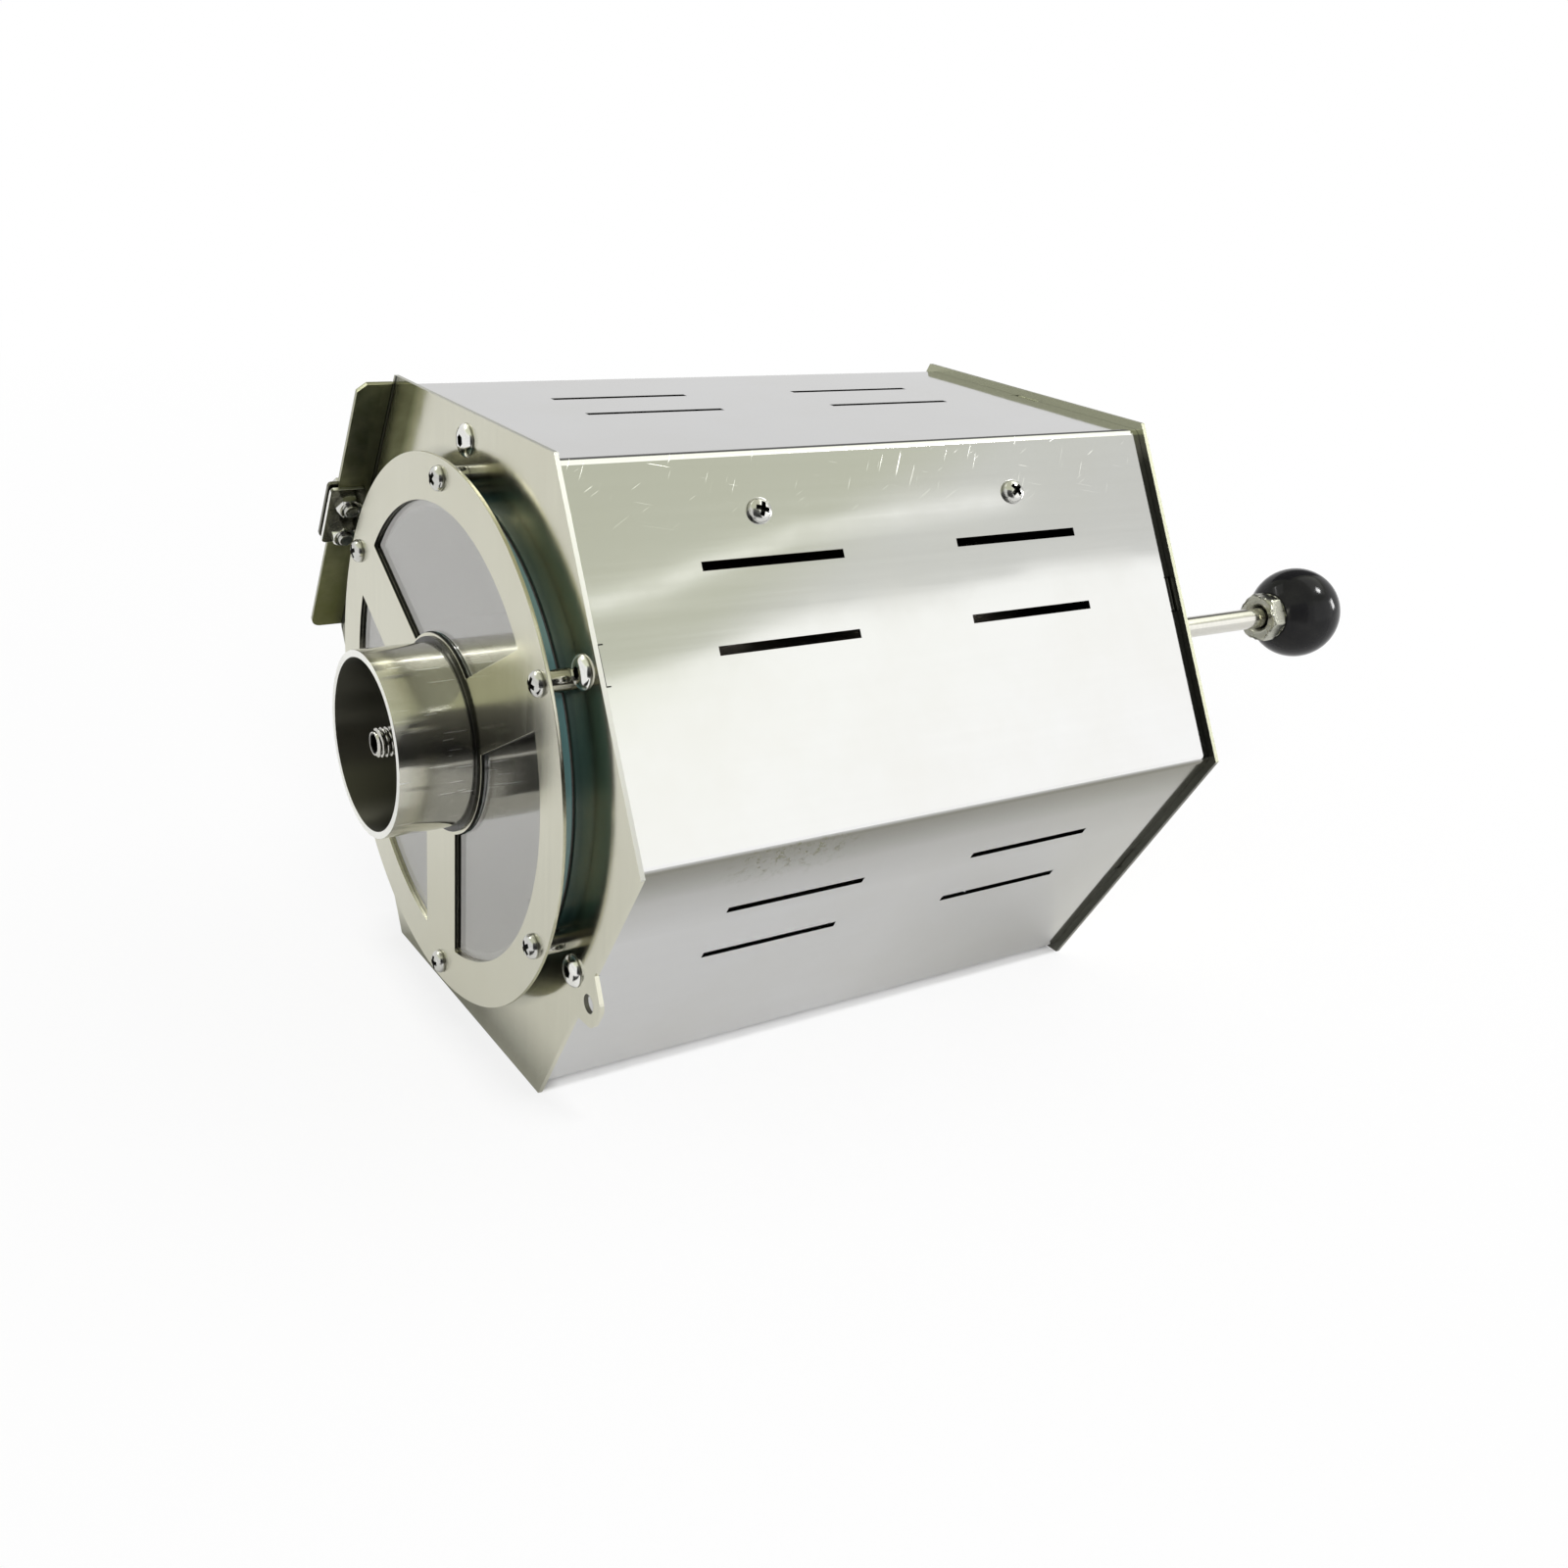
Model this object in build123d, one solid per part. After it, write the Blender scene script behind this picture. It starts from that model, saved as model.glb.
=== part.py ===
from build123d import *

import math
import os

# Small drum coffee roaster: a six-sided stainless casing, open below to the flame, with a
# drum inside that turns on a spindle, a glass front and a feed tube.
# Millimetres. y runs back from the front face of the front plate, z up from the drum axis.

# Casing
SIDE = 120.0
PLATE_T = 1.5
SHELL_T = 1.0
SHELL_LENGTH = 222.0
REAR_GAP = 0.1
OVERHANG = 2.5
SHELL_BEND = 2.5
SHELL_LIP = 12.0
SHELL_FACES = (-30, 30, 90, 150, 210)
SLOT_LENGTH = 50.0
SLOT_HEIGHT = 2.8
SLOT_SPREAD = 47.0
SLOT_ROWS = (0.0, 25.0)
LOW_SLOT_ROWS = (3.2, 28.2)

# Tabs at the ends of the shell, with a button-head screw and a nut each
TAB_WIDTH = 11.5
TAB_LENGTH = 13.0
TAB_BEND = 1.0
TAB_NECK = 2.8
TAB_RELIEF = 0.4
TAB_SCREW_CIRCLE = 94.8
M6_HEAD_R = 5.25
M6_HEAD_H = 3.3
M6_KEY = 4.0
M6_NUT = 10.0
M6_NUT_H = 5.0

# Front plate: folded flange on the upper left edge, lugs on the lower edges
FLANGE_FACE = 150
FLANGE_REACH = 12.2
FLANGE_TOP = -57.3
FLANGE_BOTTOM = 58.1
FLANGE_BEND = 1.5
FLANGE_CHAMFER = 3.0
FLANGE_ROUND = 3.5
LUG_FACES = (-30, 210)
LUG_BASE = 24.0
LUG_TIP_WIDTH = 10.0
LUG_REACH = 9.0
LUG_HOLE_OUT = 2.8
LUG_HOLE_R = 3.0

# Clip on the flange: two plates bolted together through it
CLIP_T = 1.5
CLIP_PLAY = 0.05
CLIP_HEIGHT = 25.0
CLIP_FRONT = -15.2
CLIP_BACK = -2.5
CLIP_ROUND = 1.5
CLIP_BOLT_Y = -8.7
CLIP_BOLT_SPREAD = 6.8

# Baffle under the top of the shell
BAFFLE_TOP = 47.0
BAFFLE_FOOT = 32.0
BAFFLE_LENGTH = 180.0
BAFFLE_BEND = 2.0
BAFFLE_FACES = (30, 150)
BAFFLE_SCREW_UP = 40.0
BAFFLE_SCREW_SPREAD = 49.0

# Glass front
MOUTH_R = 77.0
SPIDER_R = 90.0
SPIDER_T = 1.2
WINDOW_R = 75.0
WINDOW_ROUND = 0.6
SPOKE_WIDTH = 24.0
SPOKE_ANGLES = (30, 150, 270)
HUB_RING_R = 33.0
POST_CIRCLE = 83.6
POST_R = 3.5
POST_LENGTH = 7.6
POST_ANGLES = (30, 90, 150, 210, 270, 330)
GLASS_R = 79.3
GLASS_T = 7.2
GLASS_HOLE_R = 33.0
SEAL_WIDTH = 1.6

# Feed tube
TUBE_R = 30.15
TUBE_WALL = 2.3
TUBE_MOUTH = -34.0
TUBE_INNER_END = 10.0
TUBE_COLLAR_R = 32.6
CLIP_RING_R = 31.9
CLIP_RING_T = 0.8
CLIP_RING_GROOVE = 0.65
CLIP_RING_GAP = 14.0

# Spindle and its bearings
SPINDLE_R = 5.0
SPINDLE_FRONT = -31.0
THREAD_R = 4.93
THREAD_END = -14.0
RELIEF_R = 4.2
RELIEF_LENGTH = 2.0
SPINDLE_KEY = 5.0
SPINDLE_KEY_DEPTH = 6.0
ROD_R = 4.5
ROD_START = 266.0
ROD_END = 395.0
RUNNING_FIT = 0.05
FIXED_FIT = 0.03
CARRIER_Y = 3.0
CARRIER_T = 3.0
CARRIER_ARM = 5.0
CARRIER_RIM = 3.0
CARRIER_HUB_R = 9.5
FRONT_BUSH_R = 7.0
FRONT_BUSH_LENGTH = 10.0
BUSH_FLANGE_T = 2.0
HOUSING_R = 32.0
HOUSING_T = 5.0
HOUSING_BOSS_R = 15.0
HOUSING_LENGTH = 29.0
HOUSING_SCREW_CIRCLE = 24.0
HOUSING_SCREW_ANGLES = (45, 135, 225, 315)
REAR_BUSH_R = 8.0
REAR_BUSH_FLANGE_R = 11.0
REAR_BUSH_FLANGE_T = 3.0
WASHER_R = 10.5
WASHER_T = 1.0
END_FLOAT = 0.2
COLLAR_R = 11.0
COLLAR_T = 9.0

# Drum
DRUM_R = 76.0
DRUM_T = 1.0
DRUM_FRONT = 0.4
DRUM_LIP = 3.5
DRUM_BACK = 206.0
DISC_Y = 196.0
DISC_T = 1.2
DRUM_HUB_R = 26.0
DRUM_HUB_T = 4.0
DRUM_BOSS_R = 12.0
DRUM_HUB_SCREW_CIRCLE = 19.0
VANE_ANGLES = (50, 170, 290)
VANE_HEIGHT = 16.0
VANE_T = 1.2
VANE_FOOT = 9.0
VANE_FRONT = 20.0
VANE_BACK = 188.0
RIVET_R = 1.5
RIVET_HEAD_R = 2.6
RIVET_HEAD_H = 1.0
ARM_ANGLES = (30, 150, 270)
ARM_Y = 60.0
ARM_T = 2.0
ARM_WIDTH = 10.0
ARM_FOOT = 12.0
ARM_BOSS_R = 12.0
ARM_BOSS_LENGTH = 14.0

# Ball knob and lock nut on the rear end of the spindle
BALL_R = 20.0
BALL_Y = 402.0
BALL_FLAT = 17.0
LOCK_NUT = 19.0
LOCK_NUT_H = 8.0

# Metric screws, as head and nut sizes
M4_R = 2.0
M4_HEAD_R = 4.0
M4_HEAD_H = 2.8
M4_NUT = 7.0
M4_NUT_H = 3.2
M5_R = 2.5
M5_HEAD = 8.0
M5_HEAD_H = 3.5
M5_NUT_H = 4.0
M6_R = 3.0
HOLE_PLAY = 0.2
THREAD_PLAY = 0.02

# Worked out
COS30 = math.cos(math.radians(30))
APOTHEM = SIDE * COS30
SHELL_APOTHEM = APOTHEM - OVERHANG
SHELL_INSIDE = SHELL_APOTHEM - SHELL_T
SHELL_FRONT = PLATE_T
SHELL_BACK = SHELL_FRONT + SHELL_LENGTH
SHELL_MIDDLE = (SHELL_FRONT + SHELL_BACK) / 2
REAR_FACE = SHELL_BACK + REAR_GAP
REAR_BACK = REAR_FACE + PLATE_T
SPIDER_BACK = -POST_LENGTH
SPIDER_FRONT = SPIDER_BACK - SPIDER_T
GLASS_BACK = SPIDER_BACK + GLASS_T
TUBE_BORE_R = TUBE_R - TUBE_WALL
DRUM_INSIDE = DRUM_R - DRUM_T
HOUSING_END = REAR_BACK + HOUSING_LENGTH
REAR_BUSH_FRONT = REAR_FACE - REAR_BUSH_FLANGE_T
HUB_BACK = REAR_BUSH_FRONT - END_FLOAT - WASHER_T
COLLAR_FRONT = HOUSING_END + END_FLOAT + WASHER_T
LOCK_NUT_BACK = BALL_Y - BALL_FLAT
LENGTH_SHIFT = -(TUBE_MOUTH + BALL_Y + BALL_R) / 2


def slab(sketch, front, back):
    """A sketch of (x, z) points, made solid between two distances along the axis."""
    return extrude(Plane.XZ.offset(-back) * sketch, back - front)


def turned(*points):
    """A closed outline of (radius, y) points, turned about the drum axis."""
    return revolve(make_face(Polyline(*points, close=True)), Axis.Y)


def sleeve(inner, outer, front, back):
    """A plain round sleeve or washer on the drum axis."""
    return turned((inner, front), (outer, front), (outer, back), (inner, back))


def around(angle, shape):
    """Carry a shape made at +x round the drum axis by an angle."""
    return Rot(0, -angle, 0) * shape


def group(shapes):
    """Separate solids that share one node."""
    return Compound([solid for shape in shapes for solid in shape.solids()])


def drilled(radius, x, front, back):
    """The material of a round hole along the axis, at +x."""
    return Pos(x, 0, 0) * slab(Circle(radius), front, back)


def hexagon(across):
    """A six-sided outline of a width across its flats."""
    return RegularPolygon(across / 2, 6, major_radius=False)


def nut(across, height, hole_radius):
    """A plain nut along the axis, with its seat at y = 0."""
    return slab(hexagon(across) - Circle(hole_radius), 0, height)


def domed_screw(head_radius, head_height, shank_radius, length, rim=0.6):
    """A round-headed screw along the axis: seat at y = 0, head in front, shank behind."""
    rise = head_height - rim
    dome_radius = (head_radius**2 + rise**2) / (2 * rise)
    half_angle = math.asin(head_radius / dome_radius) / 2
    crown = dome_radius - head_height
    halfway = (dome_radius * math.sin(half_angle), crown - dome_radius * math.cos(half_angle))
    outline = ThreePointArc((0, -head_height), halfway, (head_radius, -rim))
    outline += Polyline(
        (head_radius, -rim),
        (head_radius, 0),
        (shank_radius, 0),
        (shank_radius, length),
        (0, length),
        (0, -head_height),
    )
    return revolve(make_face(outline), Axis.Y)


def hex_bolt(across, head_height, shank_radius, length):
    """A hexagon-head bolt along the axis, with its seat at y = 0."""
    head = slab(hexagon(across), -head_height, 0)
    return head + slab(Circle(shank_radius), 0, length)


def set_screw(radius, inner, outer):
    """A grub screw at +x, from one radius to another."""
    return Pos(inner, 0, 0) * extrude(Plane.YZ * Circle(radius), outer - inner)


def plate_with_tab_holes():
    """The outline that both end plates share."""
    hole = Pos(TAB_SCREW_CIRCLE, 0) * Circle(M6_R + HOLE_PLAY)
    return RegularPolygon(SIDE, 6) - [Rot(0, 0, angle) * hole for angle in SHELL_FACES]


def lug():
    """A rounded ear on the lower edges of the front plate, with its hole."""
    tip = APOTHEM + LUG_REACH
    root = APOTHEM - PLATE_T
    ear = make_face(
        Polyline(
            (root, -LUG_BASE / 2),
            (tip, -LUG_TIP_WIDTH / 2),
            (tip, LUG_TIP_WIDTH / 2),
            (root, LUG_BASE / 2),
            close=True,
        )
    )
    return fillet(ear.vertices().group_by(Axis.X)[-1], LUG_TIP_WIDTH * 0.45)


def front_plate():
    """Six-sided plate with the drum mouth, two lugs and a flange folded forward."""
    outline = plate_with_tab_holes()
    outline += [Rot(0, 0, angle) * lug() for angle in LUG_FACES]
    lug_hole = Pos(APOTHEM + LUG_HOLE_OUT, 0) * Circle(LUG_HOLE_R)
    outline -= [Rot(0, 0, angle) * lug_hole for angle in LUG_FACES]
    post_hole = Pos(POST_CIRCLE, 0) * Circle(M4_R + HOLE_PLAY)
    outline -= [Rot(0, 0, angle) * post_hole for angle in POST_ANGLES]
    plate = slab(outline - Circle(MOUTH_R), 0, PLATE_T)

    middle = APOTHEM - PLATE_T / 2
    root = APOTHEM - 3 * PLATE_T
    path = FilletPolyline(
        (middle, -FLANGE_REACH), (middle, PLATE_T / 2), (root, PLATE_T / 2), radius=FLANGE_BEND
    )
    width = FLANGE_BOTTOM - FLANGE_TOP
    flange = Pos(0, 0, FLANGE_TOP) * extrude(trace(path, PLATE_T), width)
    front_corners = flange.edges().filter_by(Axis.X).group_by(Axis.Y)[0].sort_by(Axis.Z)
    flange = chamfer(front_corners[0], FLANGE_CHAMFER)
    front_corners = flange.edges().filter_by(Axis.X).group_by(Axis.Z)[-1].sort_by(Axis.Y)
    flange = fillet(front_corners[0], FLANGE_ROUND)
    for side in (-CLIP_BOLT_SPREAD, CLIP_BOLT_SPREAD):
        bolt_hole = set_screw(M5_R + HOLE_PLAY, root, APOTHEM + PLATE_T)
        flange -= Pos(0, CLIP_BOLT_Y, side) * bolt_hole
    margin = Box(2 * (APOTHEM - root), 2 * PLATE_T, width)
    margin = Pos(APOTHEM, PLATE_T, (FLANGE_TOP + FLANGE_BOTTOM) / 2) * margin
    return plate - around(FLANGE_FACE, margin) + around(FLANGE_FACE, flange)


def rear_plate():
    """Six-sided plate that carries the rear bearing."""
    outline = plate_with_tab_holes() - Circle(HOUSING_BOSS_R + FIXED_FIT)
    hole = Pos(HOUSING_SCREW_CIRCLE, 0) * Circle(M5_R + HOLE_PLAY)
    outline -= [Rot(0, 0, angle) * hole for angle in HOUSING_SCREW_ANGLES]
    return slab(outline, REAR_FACE, REAR_BACK)


def shell_tab(plate_face, inward):
    """A tab bent in from the end of a face at +x, to lie flat on an end plate."""
    middle = SHELL_APOTHEM - SHELL_T / 2
    seat = plate_face + inward * SHELL_T / 2
    neck = plate_face + inward * (TAB_NECK + SHELL_T)
    path = FilletPolyline(
        (middle, neck), (middle, seat), (SHELL_APOTHEM - TAB_LENGTH, seat), radius=TAB_BEND
    )
    tab = extrude(trace(path, SHELL_T), TAB_WIDTH / 2, both=True)
    return tab - drilled(M6_R + HOLE_PLAY, TAB_SCREW_CIRCLE, plate_face - TAB_NECK, plate_face + TAB_NECK)


def shell_cuts(rows):
    """Slots in the given rows and tab reliefs of one face at +x."""
    slot = Box(4 * SHELL_T, SLOT_LENGTH, SLOT_HEIGHT)
    cuts = []
    for row in rows:
        for side in (-SLOT_SPREAD, SLOT_SPREAD):
            cuts.append(Pos(SHELL_APOTHEM, SHELL_MIDDLE + side, row) * slot)
    relief = Box(4 * SHELL_T, 2 * TAB_NECK, TAB_WIDTH + 2 * TAB_RELIEF)
    cuts.append(Pos(SHELL_APOTHEM, PLATE_T, 0) * relief)
    cuts.append(Pos(SHELL_APOTHEM, REAR_FACE, 0) * relief)
    return cuts


def shell_screw_places():
    """Where the baffle's screws pass the shell: a face's angle, y and height on the face."""
    places = []
    for angle in BAFFLE_FACES:
        up = BAFFLE_SCREW_UP if angle < 90 else -BAFFLE_SCREW_UP
        for side in (-BAFFLE_SCREW_SPREAD, BAFFLE_SCREW_SPREAD):
            places.append((angle, SHELL_MIDDLE + side, up))
    return places


def casing_shell():
    """One sheet folded round five sides, open below between two lips."""
    corner = (SHELL_APOTHEM - SHELL_T / 2) / COS30
    low = -corner * COS30
    lip_end = corner / 2 - SHELL_LIP
    corners = [
        (corner * math.cos(math.radians(angle)), corner * math.sin(math.radians(angle)))
        for angle in range(-60, 241, 60)
    ]
    path = FilletPolyline((lip_end, low), *corners, (-lip_end, low), radius=SHELL_BEND)
    shell = slab(trace(path, SHELL_T), SHELL_FRONT, SHELL_BACK)
    for angle in SHELL_FACES:
        rows = LOW_SLOT_ROWS if angle < 0 else SLOT_ROWS
        shell -= [around(angle, cut) for cut in shell_cuts(rows)]
    for angle, y, up in shell_screw_places():
        hole = set_screw(M4_R + HOLE_PLAY, SHELL_INSIDE - SHELL_T, SHELL_APOTHEM + SHELL_T)
        shell -= around(angle, Pos(0, y, up) * hole)
    tabs = [shell_tab(PLATE_T, 1), shell_tab(REAR_FACE, -1)]
    return shell + [around(angle, tab) for angle in SHELL_FACES for tab in tabs]


def top_baffle():
    """Inner sheet that keeps the hot air round the drum, flanged to both upper faces."""
    line = SHELL_INSIDE - SHELL_T / 2
    right = math.radians(BAFFLE_FACES[0])

    def on_face(up):
        x = line * math.cos(right) - up * math.sin(right)
        z = line * math.sin(right) + up * math.cos(right)
        return x, z

    foot, top = on_face(BAFFLE_FOOT), on_face(BAFFLE_TOP)
    path = FilletPolyline(foot, top, (-top[0], top[1]), (-foot[0], foot[1]), radius=BAFFLE_BEND)
    front = SHELL_MIDDLE - BAFFLE_LENGTH / 2
    baffle = slab(trace(path, SHELL_T), front, front + BAFFLE_LENGTH)
    for angle, y, up in shell_screw_places():
        hole = set_screw(M4_R + HOLE_PLAY, SHELL_INSIDE - 3 * SHELL_T, SHELL_APOTHEM)
        baffle -= around(angle, Pos(0, y, up) * hole)
    return baffle


def shell_screws():
    """Pan-head screws through the shell and the baffle's flanges."""
    length = 2 * SHELL_T + M4_NUT_H + 1
    screw = Rot(0, 0, 90) * domed_screw(M4_HEAD_R, M4_HEAD_H, M4_R, length)
    return group(
        around(angle, Pos(SHELL_APOTHEM, y, up) * screw) for angle, y, up in shell_screw_places()
    )


def shell_nuts():
    """Nuts of the shell screws, inside the baffle's flanges."""
    piece = Rot(0, 0, 90) * nut(M4_NUT, M4_NUT_H, M4_R + THREAD_PLAY)
    seat = SHELL_INSIDE - SHELL_T
    return group(around(angle, Pos(seat, y, up) * piece) for angle, y, up in shell_screw_places())


def tab_screws(plate_outside, inward):
    """Button-head screws that hold an end plate to the shell's tabs."""
    length = PLATE_T + SHELL_T + M6_NUT_H + 1
    screw = domed_screw(M6_HEAD_R, M6_HEAD_H, M6_R, length)
    screw -= slab(hexagon(M6_KEY), -M6_HEAD_H, -M6_HEAD_H / 3)
    turn = Rot(0, 0, 0) if inward > 0 else Rot(180, 0, 0)
    placed = Pos(TAB_SCREW_CIRCLE, plate_outside, 0) * turn * screw
    return group(around(angle, placed) for angle in SHELL_FACES)


def tab_nuts(seat, inward):
    """Nuts behind the shell's tabs, a flat side towards the shell."""
    piece = Rot(0, 30, 0) * nut(M6_NUT, M6_NUT_H, M6_R + THREAD_PLAY)
    turn = Rot(0, 0, 0) if inward > 0 else Rot(180, 0, 0)
    placed = Pos(TAB_SCREW_CIRCLE, seat, 0) * turn * piece
    return group(around(angle, placed) for angle in SHELL_FACES)


def wing_clip():
    """Two plates with rounded corners, one on each side of the flange and both ahead of its edge."""
    middle = (CLIP_FRONT + CLIP_BACK) / 2
    plate = Box(CLIP_T, CLIP_BACK - CLIP_FRONT, CLIP_HEIGHT)
    plate = Pos(CLIP_T / 2, middle, 0) * fillet(plate.edges().filter_by(Axis.X), CLIP_ROUND)
    for side in (-CLIP_BOLT_SPREAD, CLIP_BOLT_SPREAD):
        plate -= Pos(0, CLIP_BOLT_Y, side) * set_screw(M5_R + HOLE_PLAY, -CLIP_T, 2 * CLIP_T)
    outer = APOTHEM + CLIP_PLAY
    inner = APOTHEM - PLATE_T - CLIP_PLAY - CLIP_T
    return group(around(FLANGE_FACE, Pos(seat, 0, 0) * plate) for seat in (outer, inner))


def clip_bolts():
    """Bolts through the clip and the flange, heads outside."""
    seat = APOTHEM + CLIP_PLAY + CLIP_T
    grip = PLATE_T + 2 * (CLIP_PLAY + CLIP_T)
    bolt = Rot(0, 0, 90) * hex_bolt(M5_HEAD, M5_HEAD_H, M5_R, grip + M5_NUT_H + 1.5)
    return group(
        around(FLANGE_FACE, Pos(seat, CLIP_BOLT_Y, side) * bolt)
        for side in (-CLIP_BOLT_SPREAD, CLIP_BOLT_SPREAD)
    )


def clip_nuts():
    """Nuts of the clip's bolts, on the inner side."""
    seat = APOTHEM - PLATE_T - CLIP_PLAY - CLIP_T
    piece = Rot(0, 0, 90) * nut(M5_HEAD, M5_NUT_H, M5_R + THREAD_PLAY)
    return group(
        around(FLANGE_FACE, Pos(seat, CLIP_BOLT_Y, side) * piece)
        for side in (-CLIP_BOLT_SPREAD, CLIP_BOLT_SPREAD)
    )


def front_spider():
    """Flat ring with three spokes and a narrow hub round the feed tube."""
    spoke = Pos(WINDOW_R / 2 + SPOKE_WIDTH / 4, 0) * Rectangle(WINDOW_R, SPOKE_WIDTH)
    outline = Circle(SPIDER_R) - Circle(WINDOW_R) + Circle(HUB_RING_R)
    outline += [Rot(0, 0, angle) * spoke for angle in SPOKE_ANGLES]
    corners = [
        vertex
        for vertex in outline.vertices()
        if abs(math.hypot(vertex.X, vertex.Y) - WINDOW_R) < 0.1
    ]
    outline = fillet(corners, WINDOW_ROUND)
    outline -= Circle(TUBE_R + HOLE_PLAY)
    hole = Pos(POST_CIRCLE, 0) * Circle(M4_R + HOLE_PLAY)
    outline -= [Rot(0, 0, angle) * hole for angle in POST_ANGLES]
    return slab(outline, SPIDER_FRONT, SPIDER_BACK)


def spacer_posts():
    """Round spacers between the spider and the front plate, tapped from both ends."""
    post = slab(Circle(POST_R) - Circle(M4_R + THREAD_PLAY), SPIDER_BACK, 0)
    return group(around(angle, Pos(POST_CIRCLE, 0, 0) * post) for angle in POST_ANGLES)


def spider_screws():
    """Pan-head screws from the spider into the posts."""
    screw = domed_screw(M4_HEAD_R, M4_HEAD_H, M4_R, SPIDER_T + POST_LENGTH * 0.4)
    placed = Pos(POST_CIRCLE, SPIDER_FRONT, 0) * screw
    return group(around(angle, placed) for angle in POST_ANGLES)


def post_screws():
    """Pan-head screws from behind the front plate into the posts."""
    screw = Rot(180, 0, 0) * domed_screw(M4_HEAD_R, M4_HEAD_H, M4_R, PLATE_T + POST_LENGTH * 0.4)
    placed = Pos(POST_CIRCLE, PLATE_T, 0) * screw
    return group(around(angle, placed) for angle in POST_ANGLES)


def sight_glass():
    """Thick glass disc behind the spider, with softened edges."""
    glass = sleeve(GLASS_HOLE_R, GLASS_R, SPIDER_BACK, GLASS_BACK)
    return chamfer(glass.edges().filter_by(GeomType.CIRCLE), 0.3)


def glass_seal():
    """Thin heat-proof gasket between the glass and the rim of the plate's mouth."""
    inner = MOUTH_R + 0.3
    return sleeve(inner, inner + SEAL_WIDTH, GLASS_BACK, 0)


def feed_tube():
    """Open tube with a collar in the glass and a groove for its retaining ring."""
    groove_r = TUBE_R - CLIP_RING_GROOVE
    groove_front = SPIDER_FRONT - CLIP_RING_T - 0.05
    return turned(
        (TUBE_BORE_R, TUBE_MOUTH),
        (TUBE_R, TUBE_MOUTH),
        (TUBE_R, groove_front),
        (groove_r, groove_front),
        (groove_r, SPIDER_FRONT),
        (TUBE_R, SPIDER_FRONT),
        (TUBE_R, SPIDER_BACK),
        (TUBE_COLLAR_R, SPIDER_BACK),
        (TUBE_COLLAR_R, GLASS_BACK),
        (TUBE_R, GLASS_BACK),
        (TUBE_R, TUBE_INNER_END),
        (TUBE_BORE_R, TUBE_INNER_END),
    )


def tube_retaining_ring():
    """Spring ring in the tube's groove, in front of the spider."""
    inner = TUBE_R - CLIP_RING_GROOVE + 0.05
    ring = sleeve(inner, CLIP_RING_R, SPIDER_FRONT - CLIP_RING_T, SPIDER_FRONT)
    return ring - around(215, Pos(TUBE_R, SPIDER_FRONT, 0) * Box(12, 4, CLIP_RING_GAP))


def bush_carrier():
    """Three arms in the tube's inner end that hold the front bush."""
    arm = Pos((TUBE_BORE_R - CARRIER_RIM / 2) / 2, 0)
    arm *= Rectangle(TUBE_BORE_R - CARRIER_RIM / 2, CARRIER_ARM)
    rim_r = TUBE_BORE_R - FIXED_FIT
    outline = Circle(rim_r) - Circle(rim_r - CARRIER_RIM) + Circle(CARRIER_HUB_R)
    outline += [Rot(0, 0, angle) * arm for angle in SPOKE_ANGLES]
    outline -= Circle(FRONT_BUSH_R)
    return slab(outline, CARRIER_Y, CARRIER_Y + CARRIER_T)


def front_bush():
    """Flanged bronze bush in the carrier."""
    inner = SPINDLE_R + RUNNING_FIT
    outer = FRONT_BUSH_R - FIXED_FIT
    flange_front = CARRIER_Y - BUSH_FLANGE_T
    return turned(
        (inner, flange_front),
        (CARRIER_HUB_R, flange_front),
        (CARRIER_HUB_R, CARRIER_Y),
        (outer, CARRIER_Y),
        (outer, flange_front + FRONT_BUSH_LENGTH),
        (inner, flange_front + FRONT_BUSH_LENGTH),
    )


def bearing_flange():
    """Round flange on the outside of the rear plate that carries the bearing's boss."""
    flange_back = REAR_BACK + HOUSING_T
    bore = HOUSING_BOSS_R + FIXED_FIT
    flange = turned(
        (bore, REAR_BACK),
        (HOUSING_R, REAR_BACK),
        (HOUSING_R, flange_back - 1),
        (HOUSING_R - 1, flange_back),
        (bore, flange_back),
    )
    hole = drilled(M5_R + HOLE_PLAY, HOUSING_SCREW_CIRCLE, REAR_FACE, flange_back)
    return flange - [around(angle, hole) for angle in HOUSING_SCREW_ANGLES]


def bearing_boss():
    """Turned boss through the flange and the rear plate, bored for the rear bush."""
    return turned(
        (REAR_BUSH_R, REAR_FACE),
        (HOUSING_BOSS_R, REAR_FACE),
        (HOUSING_BOSS_R, HOUSING_END - 1),
        (HOUSING_BOSS_R - 1, HOUSING_END),
        (REAR_BUSH_R, HOUSING_END),
    )


def rear_bush():
    """Flanged bronze bush in the boss, its flange inside the casing."""
    inner = SPINDLE_R + RUNNING_FIT
    outer = REAR_BUSH_R - FIXED_FIT
    return turned(
        (inner, REAR_BUSH_FRONT),
        (REAR_BUSH_FLANGE_R, REAR_BUSH_FRONT),
        (REAR_BUSH_FLANGE_R, REAR_FACE),
        (outer, REAR_FACE),
        (outer, HOUSING_END),
        (inner, HOUSING_END),
    )


def housing_screws():
    """Screws of the bearing flange, heads outside."""
    length = HOUSING_T + PLATE_T + M5_NUT_H + 1
    screw = Rot(180, 0, 0) * hex_bolt(M5_HEAD, M5_HEAD_H, M5_R, length)
    placed = Pos(HOUSING_SCREW_CIRCLE, REAR_BACK + HOUSING_T, 0) * screw
    return group(around(angle, placed) for angle in HOUSING_SCREW_ANGLES)


def housing_nuts():
    """Nuts of the bearing flange's screws, inside the rear plate."""
    piece = Rot(180, 0, 0) * nut(M5_HEAD, M5_NUT_H, M5_R + THREAD_PLAY)
    placed = Pos(HOUSING_SCREW_CIRCLE, REAR_FACE, 0) * piece
    return group(around(angle, placed) for angle in HOUSING_SCREW_ANGLES)


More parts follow.
